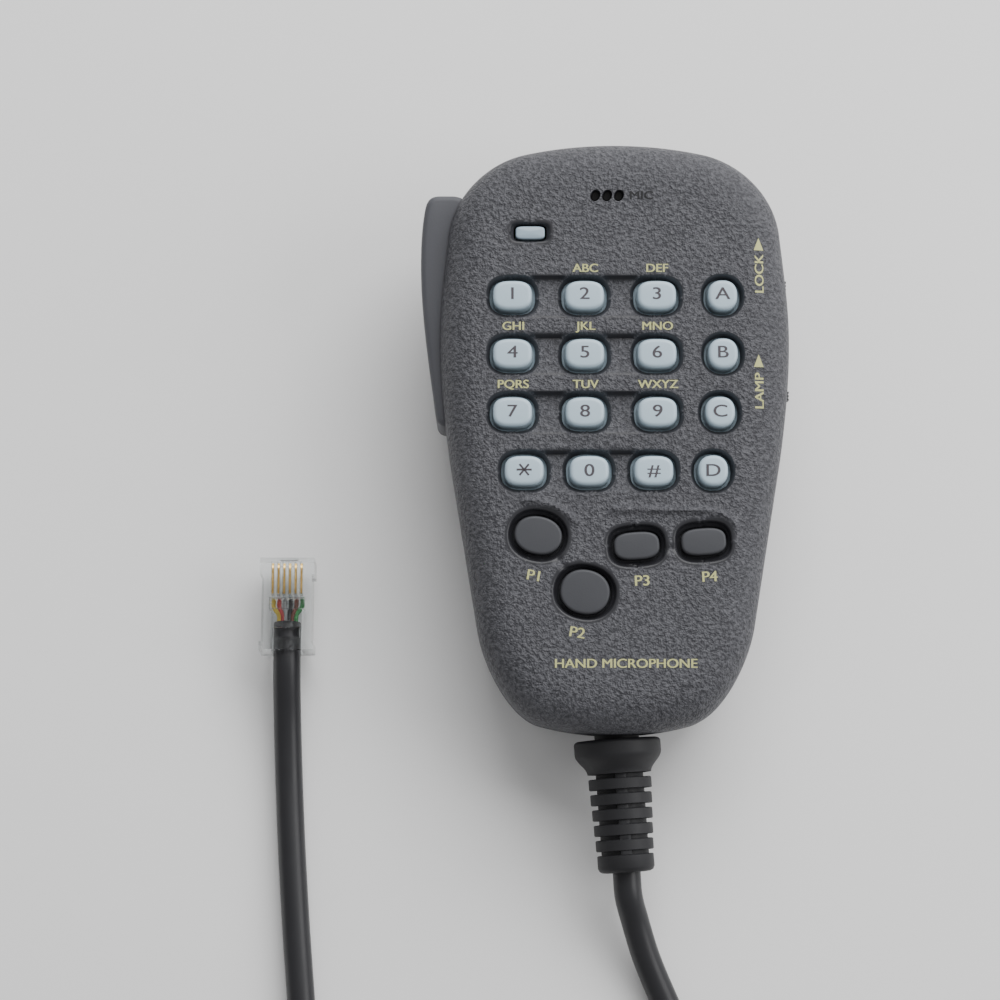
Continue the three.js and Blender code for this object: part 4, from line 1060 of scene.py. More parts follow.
def bar_outline():
    """The bar's outline from the front: flat inside, a bowed thumb face outside, corners rounded by
    a running mean over about a millimetre."""
    w, low, top = -HALF_WIDTH, BAR_LOW, BAR_TOP
    path = np.vstack([
        np.linspace((BAR_INNER, top - 0.6), (BAR_INNER, low + 1.2), 60, endpoint=False),
        np.linspace((BAR_INNER, low + 1.2), (w + 1.6, low), 12, endpoint=False),
        bowed((w + 1.6, low), (w - 0.4, low), (w - 0.6, low + 1.2)),
        bezier([(w - 0.6, low + 1.2), (w - 1.7, low + 10), (w - 3.35, top - 22), (w - 3.35, top - 12)], 120),
        bowed((w - 3.35, top - 12), (w - 3.35, top - 6), (w - 2.6, top - 2.2)),
        bowed((w - 2.6, top - 2.2), (w - 2.25, top), (w - 0.55, top)),
        np.linspace((w - 0.55, top), (w + 3.0, top), 12, endpoint=False),
        np.linspace((w + 3.0, top), (BAR_INNER, top - 0.6), 12, endpoint=False),
    ])
    closed = np.vstack([path, path[:1]])
    along = distances_along(closed)
    loop = columns_at(np.linspace(0, along[-1], 240, endpoint=False), along, closed)
    loop = sum(np.roll(loop, k, 0) for k in range(-2, 3)) / 5
    area = np.sum(loop[:, 0] * np.roll(loop[:, 1], -1) - loop[:, 1] * np.roll(loop[:, 0], -1))
    return loop if area > 0 else loop[::-1]


def build_bar():
    """The press-to-talk bar, with a round knuckle about its pivot pin."""
    part = slab(bar_outline(), BAR_BACK, BAR_FRONT, 1.1, 1.1, 0.12, 7)
    heights = np.linspace(BAR_BACK + 0.1, BAR_FRONT - 0.1, 4)
    knuckle = tube(np.column_stack([np.tile(PIVOT, (4, 1)), heights]), 2.1, 32)
    matte = plastic("talk_bar_grey", (0.09, 0.092, 0.104), 0.5, 0.2, 3300.0, 0.35)
    case_piece("talk_bar", gather([part, knuckle]), "ptt", "bar_plastic", matte, ["ptt_bar"], sharp=50)


def rounded_block(centre, half, power=5.0, count=36, rows=15):
    """A superellipsoid: |x/a|^n + |y/b|^n + |z/c|^n = 1 on two angles."""
    def to_power(t):
        """|t|^(2/n) with the sign of t."""
        return np.sign(t) * np.abs(t) ** (2 / power)
    u = np.linspace(0, 2 * np.pi, count, endpoint=False)
    v = np.linspace(-np.pi / 2, np.pi / 2, rows + 2)[1:-1]
    flat, rise = to_power(np.cos(v))[:, None], to_power(np.sin(v))[:, None]
    ring = np.stack([flat * to_power(np.cos(u))[None], flat * to_power(np.sin(u))[None],
                     np.broadcast_to(rise, (rows, count))], -1)
    verts, faces = lofted(ring)
    verts[-2], verts[-1] = (0, 0, -1), (0, 0, 1)
    return verts * half + centre, faces


def build_slides():
    """The lock and lamp slides: a stem, a plate behind the wall and three grip ribs."""
    dark = plastic("slide_plastic", (0.028, 0.028, 0.032), 0.42, 0.2, 4000.0, 0.25)
    for name, y in SLIDES:
        x = half_width_at(y)
        parts = [rounded_block((x - 2.0, y, 0), (2.65, 1.05, 1.7), 6.0),
                 rounded_block((x - 4.2, y, 0), (0.8, 3.2, 2.8), 8.0)]
        parts += [rounded_block((x + 0.5, y + 0.62 * k, 0), (0.32, 0.2, 1.35), 4.0, 20, 9)
                  for k in (-1, 0, 1)]
        case_piece(name + "_nub", gather(parts), name, "black_plastic", dark, [name + "_slide"], sharp=60)


def build_end_keys():
    """The up and down keys: a block, a flange and a ridge, bent along the crown by x^2 / 2R and
    turned about the crown's middle."""
    dark = plastic("end_key_plastic", (0.055, 0.056, 0.062), 0.42, 0.2, 4000.0, 0.25)
    z, middle = -0.3, HALF_HEIGHT - CROWN_RADIUS
    for name, side in (("up", 1), ("down", -1)):
        verts, faces = gather([
            rounded_block((0, HALF_HEIGHT - 2.0, z), (4.3, 1.75, 2.1), 7.0, 64, 25),
            rounded_block((0, HALF_HEIGHT - 3.3, z), (5.2, 0.68, 3.0), 9.0, 48, 11),
            rounded_block((0, HALF_HEIGHT - 0.28, z), (2.2, 0.16, 0.28), 3.0, 24, 9)])
        verts[:, 1] -= verts[:, 0] ** 2 / (2 * CROWN_RADIUS) + middle
        part = placed((verts, faces), 0, middle, -side * math.degrees(END_KEY_ANGLE))
        case_piece(name + "_button", part, name + "_key_cap", "case_plastic", dark, [name + "_key"], sharp=60)


# ------------------------------------------------------------------ back: stud and screws

def turned_part(profile, x, y, sides=72):
    """A closed profile of (radius, z) carried round a vertical axis."""
    p = np.asarray(profile, float)
    a = np.linspace(0, 2 * np.pi, sides, endpoint=False)
    ring = np.stack([x + p[:, :1] * np.cos(a), y + p[:, :1] * np.sin(a),
                     np.broadcast_to(p[:, 1:], (len(p), sides))], -1)
    faces = ring_faces(len(p), sides)
    k = np.arange(sides)
    last = (len(p) - 1) * sides
    faces += np.stack([last + k, last + (k + 1) % sides, (k + 1) % sides, k], -1).tolist()
    return ring.reshape(-1, 3), faces


def build_stud():
    """The hanger stud: a counterbored head with rounded rims, a hollow neck and a flared foot."""
    base, head = -BACK_DEPTH - 0.02, STUD_FACE + 2.4
    profile = [(1.8, STUD_FACE + 2.1), (3.5, STUD_FACE + 2.1), (3.5, STUD_FACE + 0.25), (3.75, STUD_FACE)]
    quarter = np.linspace(0, np.pi / 2, 7)
    profile += [(STUD_HEAD - 0.5 + 0.5 * math.sin(a), STUD_FACE + 0.5 - 0.5 * math.cos(a)) for a in quarter]
    profile += [(STUD_HEAD - 0.5 + 0.5 * math.cos(a), head - 0.5 + 0.5 * math.sin(a)) for a in quarter]
    profile += [(5.2, head + 0.25)]
    profile += [(4.2 + 0.7 * (1 - math.sin(a)), head + 0.3 + 0.7 * (1 - math.cos(a))) for a in quarter]
    profile += [(4.2, base - 0.8), (4.35, base - 0.35), (4.7, base - 0.08), (5.1, base), (1.8, base)]
    satin = plastic("stud_black", (0.03, 0.03, 0.034), 0.4, 0.2, 3600.0, 0.3)
    case_piece("stud", turned_part(profile, 0, STUD_Y), ROOT, "stud_plastic", satin, ["hanger_stud"],
               sharp=35, outward=True)


def screw_part(x, y, z, head, height, shank, length, pitch=0.7):
    """A screw, head down. The head's face sinks into a cross where |u| or |v| is small and the
    radius is inside the arm; the thread is a radius that swings once for each pitch."""
    sides = 96
    a = np.linspace(0, 2 * np.pi, sides, endpoint=False)
    radii = np.linspace(0.06, 0.88, 22) * head
    u, v = radii[:, None] * np.cos(a), radii[:, None] * np.sin(a)
    across = np.minimum(np.abs(u), np.abs(v))
    blade = np.clip((0.2 * head - across) / (0.07 * head), 0, 1)
    arm = np.clip((0.68 * head - radii[:, None]) / (0.1 * head), 0, 1)
    dome = 0.16 * head * (radii[:, None] / head) ** 2
    rings = [np.stack([u, v, dome + blade * arm * height * 0.55], -1)]
    rim = [(head * (0.88 + 0.12 * math.sin(t)), 0.16 * head * 0.78 + height * 0.28 * (1 - math.cos(t)))
           for t in np.linspace(0.2, np.pi / 2, 5)]
    rim += [(head, height - 0.05), (head - 0.08, height), (shank, height + 0.05)]
    rings += [np.stack([r * np.cos(a), r * np.sin(a), np.full(sides, h)], -1)[None] for r, h in rim]
    rows = int((length - height) / pitch * 8)
    h = np.linspace(height + 0.1, length, rows)[:, None]
    depth = 0.16 * shank * np.clip((h - height) / pitch, 0, 1)
    r = shank - depth * (0.5 + 0.5 * np.cos(2 * np.pi * h / pitch - a[None]))
    rings.append(np.stack([r * np.cos(a), r * np.sin(a), np.broadcast_to(h, r.shape)], -1))
    verts, faces = lofted(np.vstack(rings))
    return verts + [x, y, z], faces


def build_screws():
    """Four case screws, the left pair first, and the stud's screw."""
    zinc = metal("zinc_screw", (0.5, 0.5, 0.52), 0.32)
    height, end = 1.3, 7.4
    low = -BACK_DEPTH + SCREW_WELL_DEPTH - height - 0.3
    parts = {f"case_screw_{i}": screw_part(x, y, low, 2.3, height, 1.2, end - low)
             for i, (x, y) in enumerate(POSTS[2:] + POSTS[:2], 1)}
    parts["hanger_screw"] = screw_part(0, STUD_Y, STUD_FACE + 0.3, 3.2, 1.5, 1.5,
                                       STUD_PROUD + BACK_DEPTH - 7.6, 0.9)
    for name, part in parts.items():
        case_piece(name + "_turned", part, ROOT, "steel", zinc, [name], sharp=35, outward=True)


# ------------------------------------------------------------------ strain relief

RELIEF_X, RELIEF_Z, RELIEF_LEAN, RELIEF_LENGTH = 0.35, -1.0, math.radians(4), 23.7
RIB_START, RIB_PITCH, RIB_COUNT, RIB_THICK, RIB_GAP = 7.3, 2.66, 5, 2.0, 0.66
CORE_RADIUS, BRIDGE_HIGH = 4.15, 0.75


def relief_point(t, u=0.0, v=0.0):
    """A point t along the strain relief, u to its side and v up, in the case's frame, then laid."""
    c, s = math.cos(RELIEF_LEAN), math.sin(RELIEF_LEAN)
    t, u, v = np.broadcast_arrays(t, u, v)
    return laid(np.stack([RELIEF_X + t * s + u * c, -HALF_HEIGHT - t * c + u * s, RELIEF_Z + v], -1))


def relief_surface():
    """Radius as a function of the distance along and the angle round: a collar that narrows in an
    S, then ribs over a thinner core, with a bridge over each gap at the top and the bottom."""
    collar = [(-5.3, 5.0), (-5.3, 5.05), (-3.85, 5.05), (-3.8, 3.9), (0.5, 3.9), (0.6, 6.9)]
    t = np.linspace(0, 1, 7)
    collar += [(0.65 + 0.7 * (1 - math.cos(a)), 7.0 + 0.6 * math.sin(a)) for a in t[1:] * np.pi / 2]
    s = np.linspace(0, 1, 12)[1:]
    collar += [(3.0, 7.58)] + list(zip(3.0 + 3.5 * s, 7.58 - 2.0 * (3 * s ** 2 - 2 * s ** 3)))
    # Rows as (distance along, radius, 1 where the bridges stand).
    rows = [(*row, 0) for row in collar + [(RIB_START - RIB_GAP - 0.12, 5.45)]]
    for rib in range(RIB_COUNT + 1):
        low = RIB_START + rib * RIB_PITCH
        radius = 5.5 - 0.45 * rib / (RIB_COUNT - 1)
        rows += [(low - RIB_GAP, CORE_RADIUS, 1), (low - 0.02, CORE_RADIUS, 1),
                 (low + 0.02, radius - 0.18, 0), (low + 0.16, radius, 0)]
        if rib < RIB_COUNT:
            rows += [(low + RIB_THICK - 0.16, radius, 0), (low + RIB_THICK - 0.02, radius - 0.18, 0)]
    rows += [(RELIEF_LENGTH - back, r, 0)
             for back, r in ((0.9, 4.95), (0.35, 4.7), (0.08, 4.2), (0, 3.5), (0, 2.6))]
    rows = np.array(rows)
    a = np.linspace(0, 2 * np.pi, 96, endpoint=False)
    off = np.minimum(np.abs((a - np.pi / 2 + np.pi) % (2 * np.pi) - np.pi),
                     np.abs((a + np.pi / 2 + np.pi) % (2 * np.pi) - np.pi))
    bridge = np.clip((1.25 - 5.0 * off) / 0.3, 0, 1)
    radius = rows[:, 1:2] + rows[:, 2:] * bridge[None] * BRIDGE_HIGH
    return lofted(relief_point(rows[:, :1], radius * np.cos(a), radius * np.sin(a)))


def build_relief():
    """The strain relief, which is worked out already laid and in metres."""
    verts, faces = relief_surface()
    rubber = plastic("relief_rubber", (0.02, 0.02, 0.0225), 0.55, 0.25, 3000.0, 0.35)
    mesh = mesh_of("relief_boot", verts, faces, sharp=40, outward=True)
    return add_piece("relief_boot", mesh, ROOT, rubber, ["strain_relief"])


# ------------------------------------------------------------------ cord

CORD_DIAMETER, CURL_DIAMETER, CURL_PITCH, CURL_EASE = 4.9, 15.0, 6.0, 2.6
# Routes chosen, in millimetres of the row frame.
MIC_END = [
    (4.9, -83, 6.3), (6.8, -89, 4.4), (9.3, -95, 3.0), (12, -101, 2.45), (14.4, -107, 2.6),
    (15.6, -112.5, 4.6), (15.8, -117.5, 7.0),
]
CURL = [
    (15.8, -121.3, 7.5), (15.8, -137, 7.5), (15.6, -154, 7.5), (15, -172, 7.5), (12.6, -189, 7.5),
    (6.5, -204, 7.5), (-4.5, -214.5, 7.5), (-18, -218, 7.5), (-31.5, -214.5, 7.5), (-42.2, -204.5, 7.5),
    (-48.3, -190, 7.5), (-50.7, -173, 7.5), (-51.3, -153, 7.5), (-51.4, -133.3, 7.5),
]
PLUG_END = [
    (-51.4, -129, 7.2), (-51.5, -123, 4.8), (-51.8, -117, 3.0), (-52.2, -110, 2.45), (-53.2, -98, 2.45),
    (-54.4, -84, 2.45), (-55.4, -70, 2.45), (-56.1, -57, 2.7), (-56.4, -48, 4.0), (-56.5, -41, 6.0),
    (-56.5, -37.75, 6.7), (-56.5, -36.05, 6.7), (-56.5, -30.5, 6.7),
]


def helix(axis):
    """A helix about the axis line. At each end the radius and the turning rate grow together from
    nothing over a few turns, so that the jacket never bends sharper than it can; between them the
    angle goes one turn for each pitch."""
    along = distances_along(axis)
    turns = round(along[-1] / CURL_PITCH)
    u = np.linspace(0, along[-1], turns * 20 + 1)
    centre = columns_at(u, along, axis)
    tangent = np.gradient(centre, axis=0)
    tangent /= np.linalg.norm(tangent, axis=1, keepdims=True)
    side = np.cross([0.0, 0.0, 1.0], tangent)
    side /= np.linalg.norm(side, axis=1, keepdims=True)
    ease = np.clip(np.minimum(u, along[-1] - u) / (CURL_EASE * CURL_PITCH), 0, 1)
    grow = 3 * ease ** 2 - 2 * ease ** 3
    rate = np.concatenate([[0], np.cumsum((grow[1:] + grow[:-1]) / 2)])
    phase = 2 * np.pi * round(turns * rate[-1] / len(u)) * rate / rate[-1]
    radius = (CURL_DIAMETER - CORD_DIAMETER) / 2 * grow ** 0.8
    swing = np.sin(phase)[:, None] * side - np.cos(phase)[:, None] * [0, 0, 1.0]
    return centre + radius[:, None] * swing


def cord_line():
    """Out of the strain relief, through the curl, to the plug: even steps along the whole way."""
    start = [relief_point(t) / MM for t in (RELIEF_LENGTH - 3, RELIEF_LENGTH, RELIEF_LENGTH + 4)]
    curl = helix(spline(CURL, 0.8))
    first = spline(np.vstack([start, MIC_END, curl[:1]]), 1.2)
    last = spline(np.vstack([curl[-1:], PLUG_END]), 1.2)
    line = np.vstack([first[:-1], curl, last[1:]])
    along = distances_along(line)
    return columns_at(np.linspace(0, along[-1], int(along[-1] / 1.15)), along, line)


def build_cord(line):
    """The jacket, a circle carried along the line."""
    jacket = plastic("jacket_vinyl", (0.021, 0.021, 0.024), 0.42, 0.2, 2600.0, 0.15, coat=0.1)
    return row_piece("curly_cord", tube(line, CORD_DIAMETER / 2), ROOT, "cord_jacket", jacket,
                     ["cord_mic_end", "cord_curl", "cord_plug_end"])


# ------------------------------------------------------------------ plug

PLUG_X, PLUG_Y, PLUG_WIDE, PLUG_LONG, PLUG_HIGH, PLUG_LIFT = -56.5, -27.5, 9.65, 16.5, 6.6, 3.4
PLUG_FRONT, PLUG_REAR, PLUG_TOP = PLUG_Y + PLUG_LONG / 2, PLUG_Y - PLUG_LONG / 2, PLUG_LIFT + PLUG_HIGH
CONTACT_PITCH, CONTACT_THICK = 1.02, 0.35
CONTACT_X = [PLUG_X + (i - 2.5) * CONTACT_PITCH for i in range(6)]
WIRES = [("yellow", (0.62, 0.45, 0.04)), ("red", (0.45, 0.03, 0.03)), ("grey", (0.3, 0.3, 0.3)),
         ("black", (0.015, 0.015, 0.015)), ("brown", (0.2, 0.05, 0.03)), ("green", (0.03, 0.25, 0.06))]


def cube(x0, x1, y0, y1, z0, z1):
    """A box between its limits."""
    around = ((x0, y0), (x1, y0), (x1, y1), (x0, y1))
    corners = np.array([(x, y, z) for z in (z0, z1) for x, y in around], float)
    return corners, [[3, 2, 1, 0], [4, 5, 6, 7], [0, 1, 5, 4], [1, 2, 6, 5], [2, 3, 7, 6], [3, 0, 4, 7]]


def box_object(name, part):
    """A plain object from a box in millimetres."""
    mesh = bpy.data.meshes.new(name)
    mesh.from_pydata((part[0] * MM).tolist(), [], part[1])
    obj = bpy.data.objects.new(name, mesh)
    bpy.context.scene.collection.objects.link(obj)
    return obj


def joined_boxes(name, base, adds, cuts):
    """Boxes joined and cut with exact booleans, applied at once."""
    holder, helpers = box_object(name, base), []
    for operation, boxes in (("UNION", adds), ("DIFFERENCE", cuts)):
        for part in boxes:
            tool = box_object("tool", part)
            change = holder.modifiers.new("cut", "BOOLEAN")
            change.operation, change.object, change.solver = operation, tool, "EXACT"
            helpers.append(tool)
    depsgraph = bpy.context.evaluated_depsgraph_get()
    made = bpy.data.meshes.new_from_object(holder.evaluated_get(depsgraph))
    for tool in helpers:
        bpy.data.objects.remove(tool)
    bpy.data.objects.remove(holder)
    made.name = name
    return made


def build_plug_shell():
    """The clear body: a block with a flange at each end, six contact slots, a bore for the jacket, a
    chamber for the wires and two pockets in the top, with its edges bevelled."""
    half = PLUG_WIDE / 2

    def across(reach, *limits):
        """A box over the plug's middle line."""
        return cube(PLUG_X - reach, PLUG_X + reach, *limits)
    body = across(half - 0.4, PLUG_REAR, PLUG_FRONT, PLUG_LIFT, PLUG_TOP)
    adds = [across(half, low, high, PLUG_LIFT - 0.01, PLUG_TOP + 0.01)
            for low, high in ((PLUG_REAR - 0.01, PLUG_REAR + 1.4), (PLUG_FRONT - 3.0, PLUG_FRONT + 0.01))]
    cuts = [cube(x - 0.28, x + 0.28, PLUG_FRONT - 6.6, PLUG_FRONT - 0.6, PLUG_TOP - 3.3, PLUG_TOP + 1)
            for x in CONTACT_X]
    cuts += [across(2.75, PLUG_REAR - 1, PLUG_REAR + 7.5, PLUG_LIFT + 0.85, PLUG_TOP - 0.95),
             across(3.2, PLUG_REAR + 7.49, PLUG_FRONT - 6.9, PLUG_LIFT + 1.6, PLUG_TOP - 1.5),
             across(2.4, PLUG_REAR + 2.2, PLUG_REAR + 3.9, PLUG_TOP - 1.1, PLUG_TOP + 1),
             across(3.0, PLUG_REAR + 8.2, PLUG_REAR + 9.2, PLUG_TOP - 0.6, PLUG_TOP + 1)]
    mesh = joined_boxes("plug_body", body, adds, cuts)
    shell = add_piece("plug_body", mesh, ROOT, clear_plastic(), ["plug_shell"])
    edge = shell.modifiers.new("edge", "BEVEL")
    edge.width, edge.segments, edge.limit_method = 0.14 * MM, 2, "ANGLE"
    return shell


def build_plug_latch():
    """A spring arm: hinged thin at the nose, sloping back, with a wider catch half way. Its section
    is a plate with eight corners, and its height and thickness run straight between the stations."""
    back = np.array([0.55, 2.0, 4.0, 6.2, 6.25, 9.0, 12.5, 15.2])
    low = np.array([2.15, 1.95, 1.62, 1.32, 1.32, 0.95, 0.36, 0.36])
    thick = np.array([0.85, 0.85, 0.9, 0.95, 0.95, 0.9, 0.9, 0.85])
    stations = np.column_stack([PLUG_FRONT - back, low, thick])
    y, low, thick = columns_at(np.linspace(0, len(back) - 1, 85), np.arange(len(back)), stations).T
    half = np.where((y < PLUG_FRONT - 6.2) & (y > PLUG_FRONT - 8.6), 2.9, 1.6)
    corners = ((-1, 0), (-0.9, -0.06), (0.9, -0.06), (1, 0), (1, 1), (0.9, 1.03), (-0.9, 1.03), (-1, 1))
    ring = np.stack([np.stack([PLUG_X + side * half, y, low + up * thick], -1) for side, up in corners], 1)
    ring[:, :, 2] = np.maximum(ring[:, :, 2], 0.3)
    return row_piece("plug_spring_arm", lofted(ring), "latch", "clear_plastic", clear_plastic(),
                     ["plug_latch"], sharp=30)


def build_plug_contacts():
    """Six gold blades: a plate whose top edge rounds off at both ends and whose foot has two points."""
    gold = metal("gold_plating", (0.78, 0.52, 0.16), 0.25, 2400.0)
    t = np.linspace(-1, 1, 21)[::-1]
    top = np.column_stack([PLUG_FRONT - 0.9 - 5.4 * (0.5 - 0.5 * t),
                           PLUG_TOP - 0.35 - 0.55 * np.maximum(0, np.abs(t) - 0.62) ** 2 * 4])
    foot = [(6.3, 2.2), (5.9, 3.0), (5.3, 2.3), (3.9, 2.3), (3.3, 3.0), (2.7, 2.3), (1.1, 2.2)]
    outline = np.vstack([top, np.array([PLUG_FRONT, PLUG_TOP]) - foot])
    made = []
    for i, x in enumerate(CONTACT_X, 1):
        ring = np.stack([np.column_stack([np.full(len(outline), x + side * CONTACT_THICK / 2), outline])
                         for side in (-1, 1)])
        made.append(row_piece(f"contact_blade_{i}", lofted(ring), ROOT, "contact_gold", gold,
                              [f"plug_contact_{i}"], sharp=30))
    return made


def build_wires():
    """Six coloured wires that fan from the jacket's end to their contacts, round in section."""
    made = []
    for i, (name, colour) in enumerate(WIRES):
        start = PLUG_X + (i - 2.5) * 0.62
        points = [(start, PLUG_REAR + 5.0, 6.6), (start, PLUG_REAR + 6.6, 6.55),
                  (CONTACT_X[i], PLUG_REAR + 8.3, 6.2), (CONTACT_X[i], PLUG_REAR + 9.6, 6.1)]
        finish = plastic(f"wire_{name}", colour, 0.4, 0.1)
        wire = tube(spline(points, 0.3), 0.4, 12)
        made.append(row_piece(f"plug_wire_{name}", wire, ROOT, "cord_jacket", finish))
    return made


# ------------------------------------------------------------------ inside

def build_inside():
    """The pieces behind the wall keep their own shape and get their own finish."""
    switch_frame = metal("switch_frame", (0.45, 0.45, 0.47), 0.35)
    finishes = {
        "keypad_mat": plastic("silicone_mat", (0.35, 0.36, 0.37), 0.6),
        "program_mat": plastic("dark_silicone", (0.04, 0.04, 0.042), 0.6),
        "main_board": plastic("solder_mask", (0.012, 0.13, 0.05), 0.3, 0.35, 1400.0, 0.3, coat=0.4),
        "controller_chip": plastic("chip_epoxy", (0.012, 0.012, 0.014), 0.5),
        "status_led": plastic("led_epoxy", (0.75, 0.77, 0.7), 0.2, 0.05),
        "mic_boot": plastic("boot_rubber", (0.02, 0.02, 0.022), 0.7),
        "mic_capsule": metal("capsule_can", (0.6, 0.6, 0.6), 0.3),
        "ptt_pin": metal("pivot_steel", (0.55, 0.55, 0.57), 0.25),
        "ptt_switch": plastic("switch_body", (0.018, 0.018, 0.02), 0.45),
        "ptt_plunger": plastic("plunger_plastic", (0.25, 0.015, 0.018), 0.4),
        "lock_switch": switch_frame,
        "lamp_switch": switch_frame,
    }
    for node, finish in finishes.items():
        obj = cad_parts[node]
        obj.data.materials.clear()
        obj.data.materials.append(finish)


# ------------------------------------------------------------------ camera and stage

def aim_camera(settings):
    """The camera leans by the tilt from straight over its target, at the distance."""
    data = bpy.data.cameras.new("camera")
    data.lens, data.sensor_width, data.clip_start = 100, 36, 0.02
    camera = bpy.data.objects.new("camera", data)
    bpy.context.scene.collection.objects.link(camera)
    tilt = settings.tilt
    back = np.array([0, -math.sin(tilt), math.cos(tilt)])
    camera.location = np.array(settings.target) + settings.distance * back
    camera.rotation_euler = (tilt, 0, 0)
    bpy.context.scene.camera = camera


def build_stage(settings):
    """A pale floor, white surroundings, and two softboxes aimed at the middle."""
    corners = np.array([(-3, -3, 0), (3, -3, 0), (3, 3, 0), (-3, 3, 0)])
    mesh = mesh_of("floor", corners, [[0, 1, 2, 3]], smooth=False)
    mesh.materials.append(plastic("pale_floor", (0.9, 0.9, 0.9), 0.85, 0.03, 60.0, 0.0))
    floor = bpy.data.objects.new("floor", mesh)
    bpy.context.scene.collection.objects.link(floor)
    world = bpy.data.worlds.new("soft_studio")
    bpy.context.scene.world = world
    world.use_nodes = True
    background = world.node_tree.nodes["Background"]
    background.inputs[0].default_value = (1, 1, 1, 1)
    background.inputs[1].default_value = settings.ambient
    for name, energy, size, place in (("top_softbox", settings.key_light, 0.9, (0.22, 0.62, 0.62)),
                                      ("side_softbox", settings.key_light * 0.25, 0.5, (0.7, 0.0, 0.5))):
        light = bpy.data.lights.new(name, "AREA")
        light.energy, light.size = energy, size
        lamp = bpy.data.objects.new(name, light)
        lamp.location = place
        lamp.rotation_euler = (-lamp.location).to_track_quat("-Z", "Y").to_euler()
        bpy.context.scene.collection.objects.link(lamp)


# ------------------------------------------------------------------ add-on

class StageSettings(bpy.types.PropertyGroup):
    """Camera and light"""
    tilt: FloatProperty(name="Camera Tilt", description="How far the camera leans towards the cord",
                        default=math.radians(13), subtype="ANGLE")
    distance: FloatProperty(name="Camera Distance", description="From the camera to what it looks at",
                            default=0.487, unit="LENGTH")
    target: FloatVectorProperty(name="Camera Target", description="The point that the camera looks at",
                                default=(-0.0186, -0.0110, 0.0200), size=3, subtype="TRANSLATION")
    ambient: FloatProperty(name="Ambient", description="Strength of the white surroundings", default=0.42)
    key_light: FloatProperty(name="Key Light", description="Power of the large softbox", default=12.0,
                             unit="POWER")


class CaseSettings(bpy.types.PropertyGroup):
    """Finish of the case halves"""
    colour: FloatVectorProperty(name="Case Colour", description="Colour of the moulded case",
                                default=(0.105, 0.106, 0.118), size=3, subtype="COLOR", min=0, max=1)
    roughness: FloatProperty(name="Case Roughness", description="Gloss of the moulded case", default=0.48,
                             min=0, max=1)
    grain: FloatProperty(name="Grain Scale", description="Wrinkles per metre of the leather grain",
                         default=1800.0)


class HANDMIC_OT_camera(bpy.types.Operator):
    """Make the camera"""
    bl_idname = "handmic.camera"
    bl_label = "Camera"

    def execute(self, context):
        aim_camera(context.scene.handmic_stage)
        return {"FINISHED"}


class HANDMIC_OT_cord(bpy.types.Operator):
    """Build the strain relief, the curly cord and the clear plug"""
    bl_idname = "handmic.cord"
    bl_label = "Cord and Plug"

    def execute(self, context):
        line = cord_line()
        relief, cord = build_relief(), build_cord(line)
        plug = [build_plug_shell(), build_plug_latch()] + build_plug_contacts() + build_wires()
        relief_point(RELIEF_LENGTH)
        return {"FINISHED"}


class HANDMIC_OT_cases(bpy.types.Operator):
    """Build the front and the rear of the case"""
    bl_idname = "handmic.cases"
    bl_label = "Case Halves"

    def execute(self, context):
        settings = context.scene.handmic_case
        # The smooth mask darkens the wells, lips and channel walls as painted shade, besides making them
        # smooth.
        grain = finish_of("grained_case", "leather_grain", tuple(settings.colour), settings.roughness,
                          mask="smooth", Scale=settings.grain)
        build_case_half("front_shell", True, grain)
        build_case_half("rear_shell", False, grain)
        return {"FINISHED"}


class HANDMIC_OT_labels(bpy.types.Operator):
    """Print the labels on the case"""
    bl_idname = "handmic.labels"
    bl_label = "Labels"

    def execute(self, context):
        build_labels()
        return {"FINISHED"}


class HANDMIC_OT_keys(bpy.types.Operator):
    """Build the sixteen keys with their legends"""
    bl_idname = "handmic.keys"
    bl_label = "Keys"

    def execute(self, context):
        build_keys()
        return {"FINISHED"}


class HANDMIC_OT_program_keys(bpy.types.Operator):
    """Build the four program keys"""
    bl_idname = "handmic.program_keys"
    bl_label = "Program Keys"

    def execute(self, context):
        build_program_keys()
        return {"FINISHED"}


class HANDMIC_OT_window(bpy.types.Operator):
    """Build the light window"""
    bl_idname = "handmic.window"
    bl_label = "Light Window"

    def execute(self, context):
        build_window()
        return {"FINISHED"}


class HANDMIC_OT_mic_felt(bpy.types.Operator):
    """Build the felt in the slots"""
    bl_idname = "handmic.mic_felt"
    bl_label = "Microphone Felt"

    def execute(self, context):
        build_mic_screen()
        return {"FINISHED"}


class HANDMIC_OT_talk_bar(bpy.types.Operator):
    """Build the press-to-talk bar"""
    bl_idname = "handmic.talk_bar"
    bl_label = "Talk Bar"

    def execute(self, context):
        build_bar()
        return {"FINISHED"}


class HANDMIC_OT_slides(bpy.types.Operator):
    """Build the lock and lamp slides"""
    bl_idname = "handmic.slides"
    bl_label = "Slides"

    def execute(self, context):
        build_slides()
        return {"FINISHED"}


class HANDMIC_OT_end_keys(bpy.types.Operator):
    """Build the up and down keys"""
    bl_idname = "handmic.end_keys"
    bl_label = "End Keys"

    def execute(self, context):
        build_end_keys()
        return {"FINISHED"}


class HANDMIC_OT_stud(bpy.types.Operator):
    """Build the hanger stud"""
    bl_idname = "handmic.stud"
    bl_label = "Hanger Stud"

    def execute(self, context):
        build_stud()
        return {"FINISHED"}


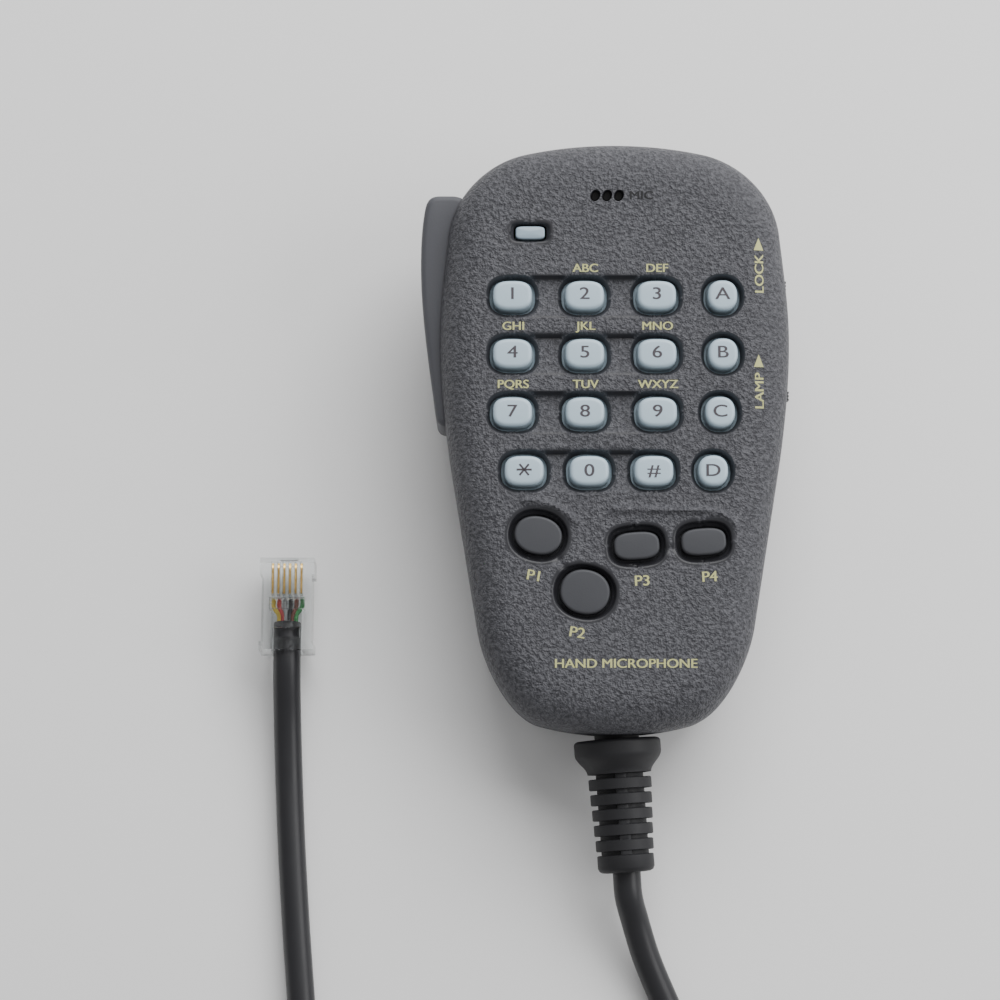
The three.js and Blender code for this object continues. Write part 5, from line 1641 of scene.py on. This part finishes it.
class HANDMIC_OT_screws(bpy.types.Operator):
    """Build the five screws"""
    bl_idname = "handmic.screws"
    bl_label = "Screws"

    def execute(self, context):
        build_screws()
        return {"FINISHED"}


class HANDMIC_OT_inside(bpy.types.Operator):
    """Finish the pieces inside the case"""
    bl_idname = "handmic.inside"
    bl_label = "Inside"

    def execute(self, context):
        build_inside()
        return {"FINISHED"}


class HANDMIC_OT_stage(bpy.types.Operator):
    """Build the floor, the surroundings and the lights"""
    bl_idname = "handmic.stage"
    bl_label = "Stage"

    def execute(self, context):
        build_stage(context.scene.handmic_stage)
        return {"FINISHED"}


STEPS = [
    HANDMIC_OT_camera, HANDMIC_OT_cord, HANDMIC_OT_cases, HANDMIC_OT_labels, HANDMIC_OT_keys,
    HANDMIC_OT_program_keys, HANDMIC_OT_window, HANDMIC_OT_mic_felt, HANDMIC_OT_talk_bar,
    HANDMIC_OT_slides, HANDMIC_OT_end_keys, HANDMIC_OT_stud, HANDMIC_OT_screws, HANDMIC_OT_inside,
    HANDMIC_OT_stage,
]


class HANDMIC_PT_panel(bpy.types.Panel):
    """Lists the pieces of the hand microphone"""
    bl_label = "Hand Microphone"
    bl_idname = "HANDMIC_PT_panel"
    bl_space_type = "VIEW_3D"
    bl_region_type = "UI"
    bl_category = "Hand Microphone"

    def draw(self, context):
        for step in STEPS:
            self.layout.operator(step.bl_idname)
        for settings in (context.scene.handmic_case, context.scene.handmic_stage):
            for name in settings.__annotations__:
                self.layout.prop(settings, name)


CLASSES = [StageSettings, CaseSettings, *STEPS, HANDMIC_PT_panel]


def register():
    """Add the classes and the scene's settings."""
    for made in CLASSES:
        bpy.utils.register_class(made)
    bpy.types.Scene.handmic_stage = PointerProperty(type=StageSettings)
    bpy.types.Scene.handmic_case = PointerProperty(type=CaseSettings)


def unregister():
    """Take them away again."""
    del bpy.types.Scene.handmic_case
    del bpy.types.Scene.handmic_stage
    for made in reversed(CLASSES):
        bpy.utils.unregister_class(made)


def main():
    """Register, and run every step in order."""
    register()
    for step in STEPS:
        getattr(bpy.ops.handmic, step.bl_idname.split(".")[1])()


if __name__ == "__main__":
    main()
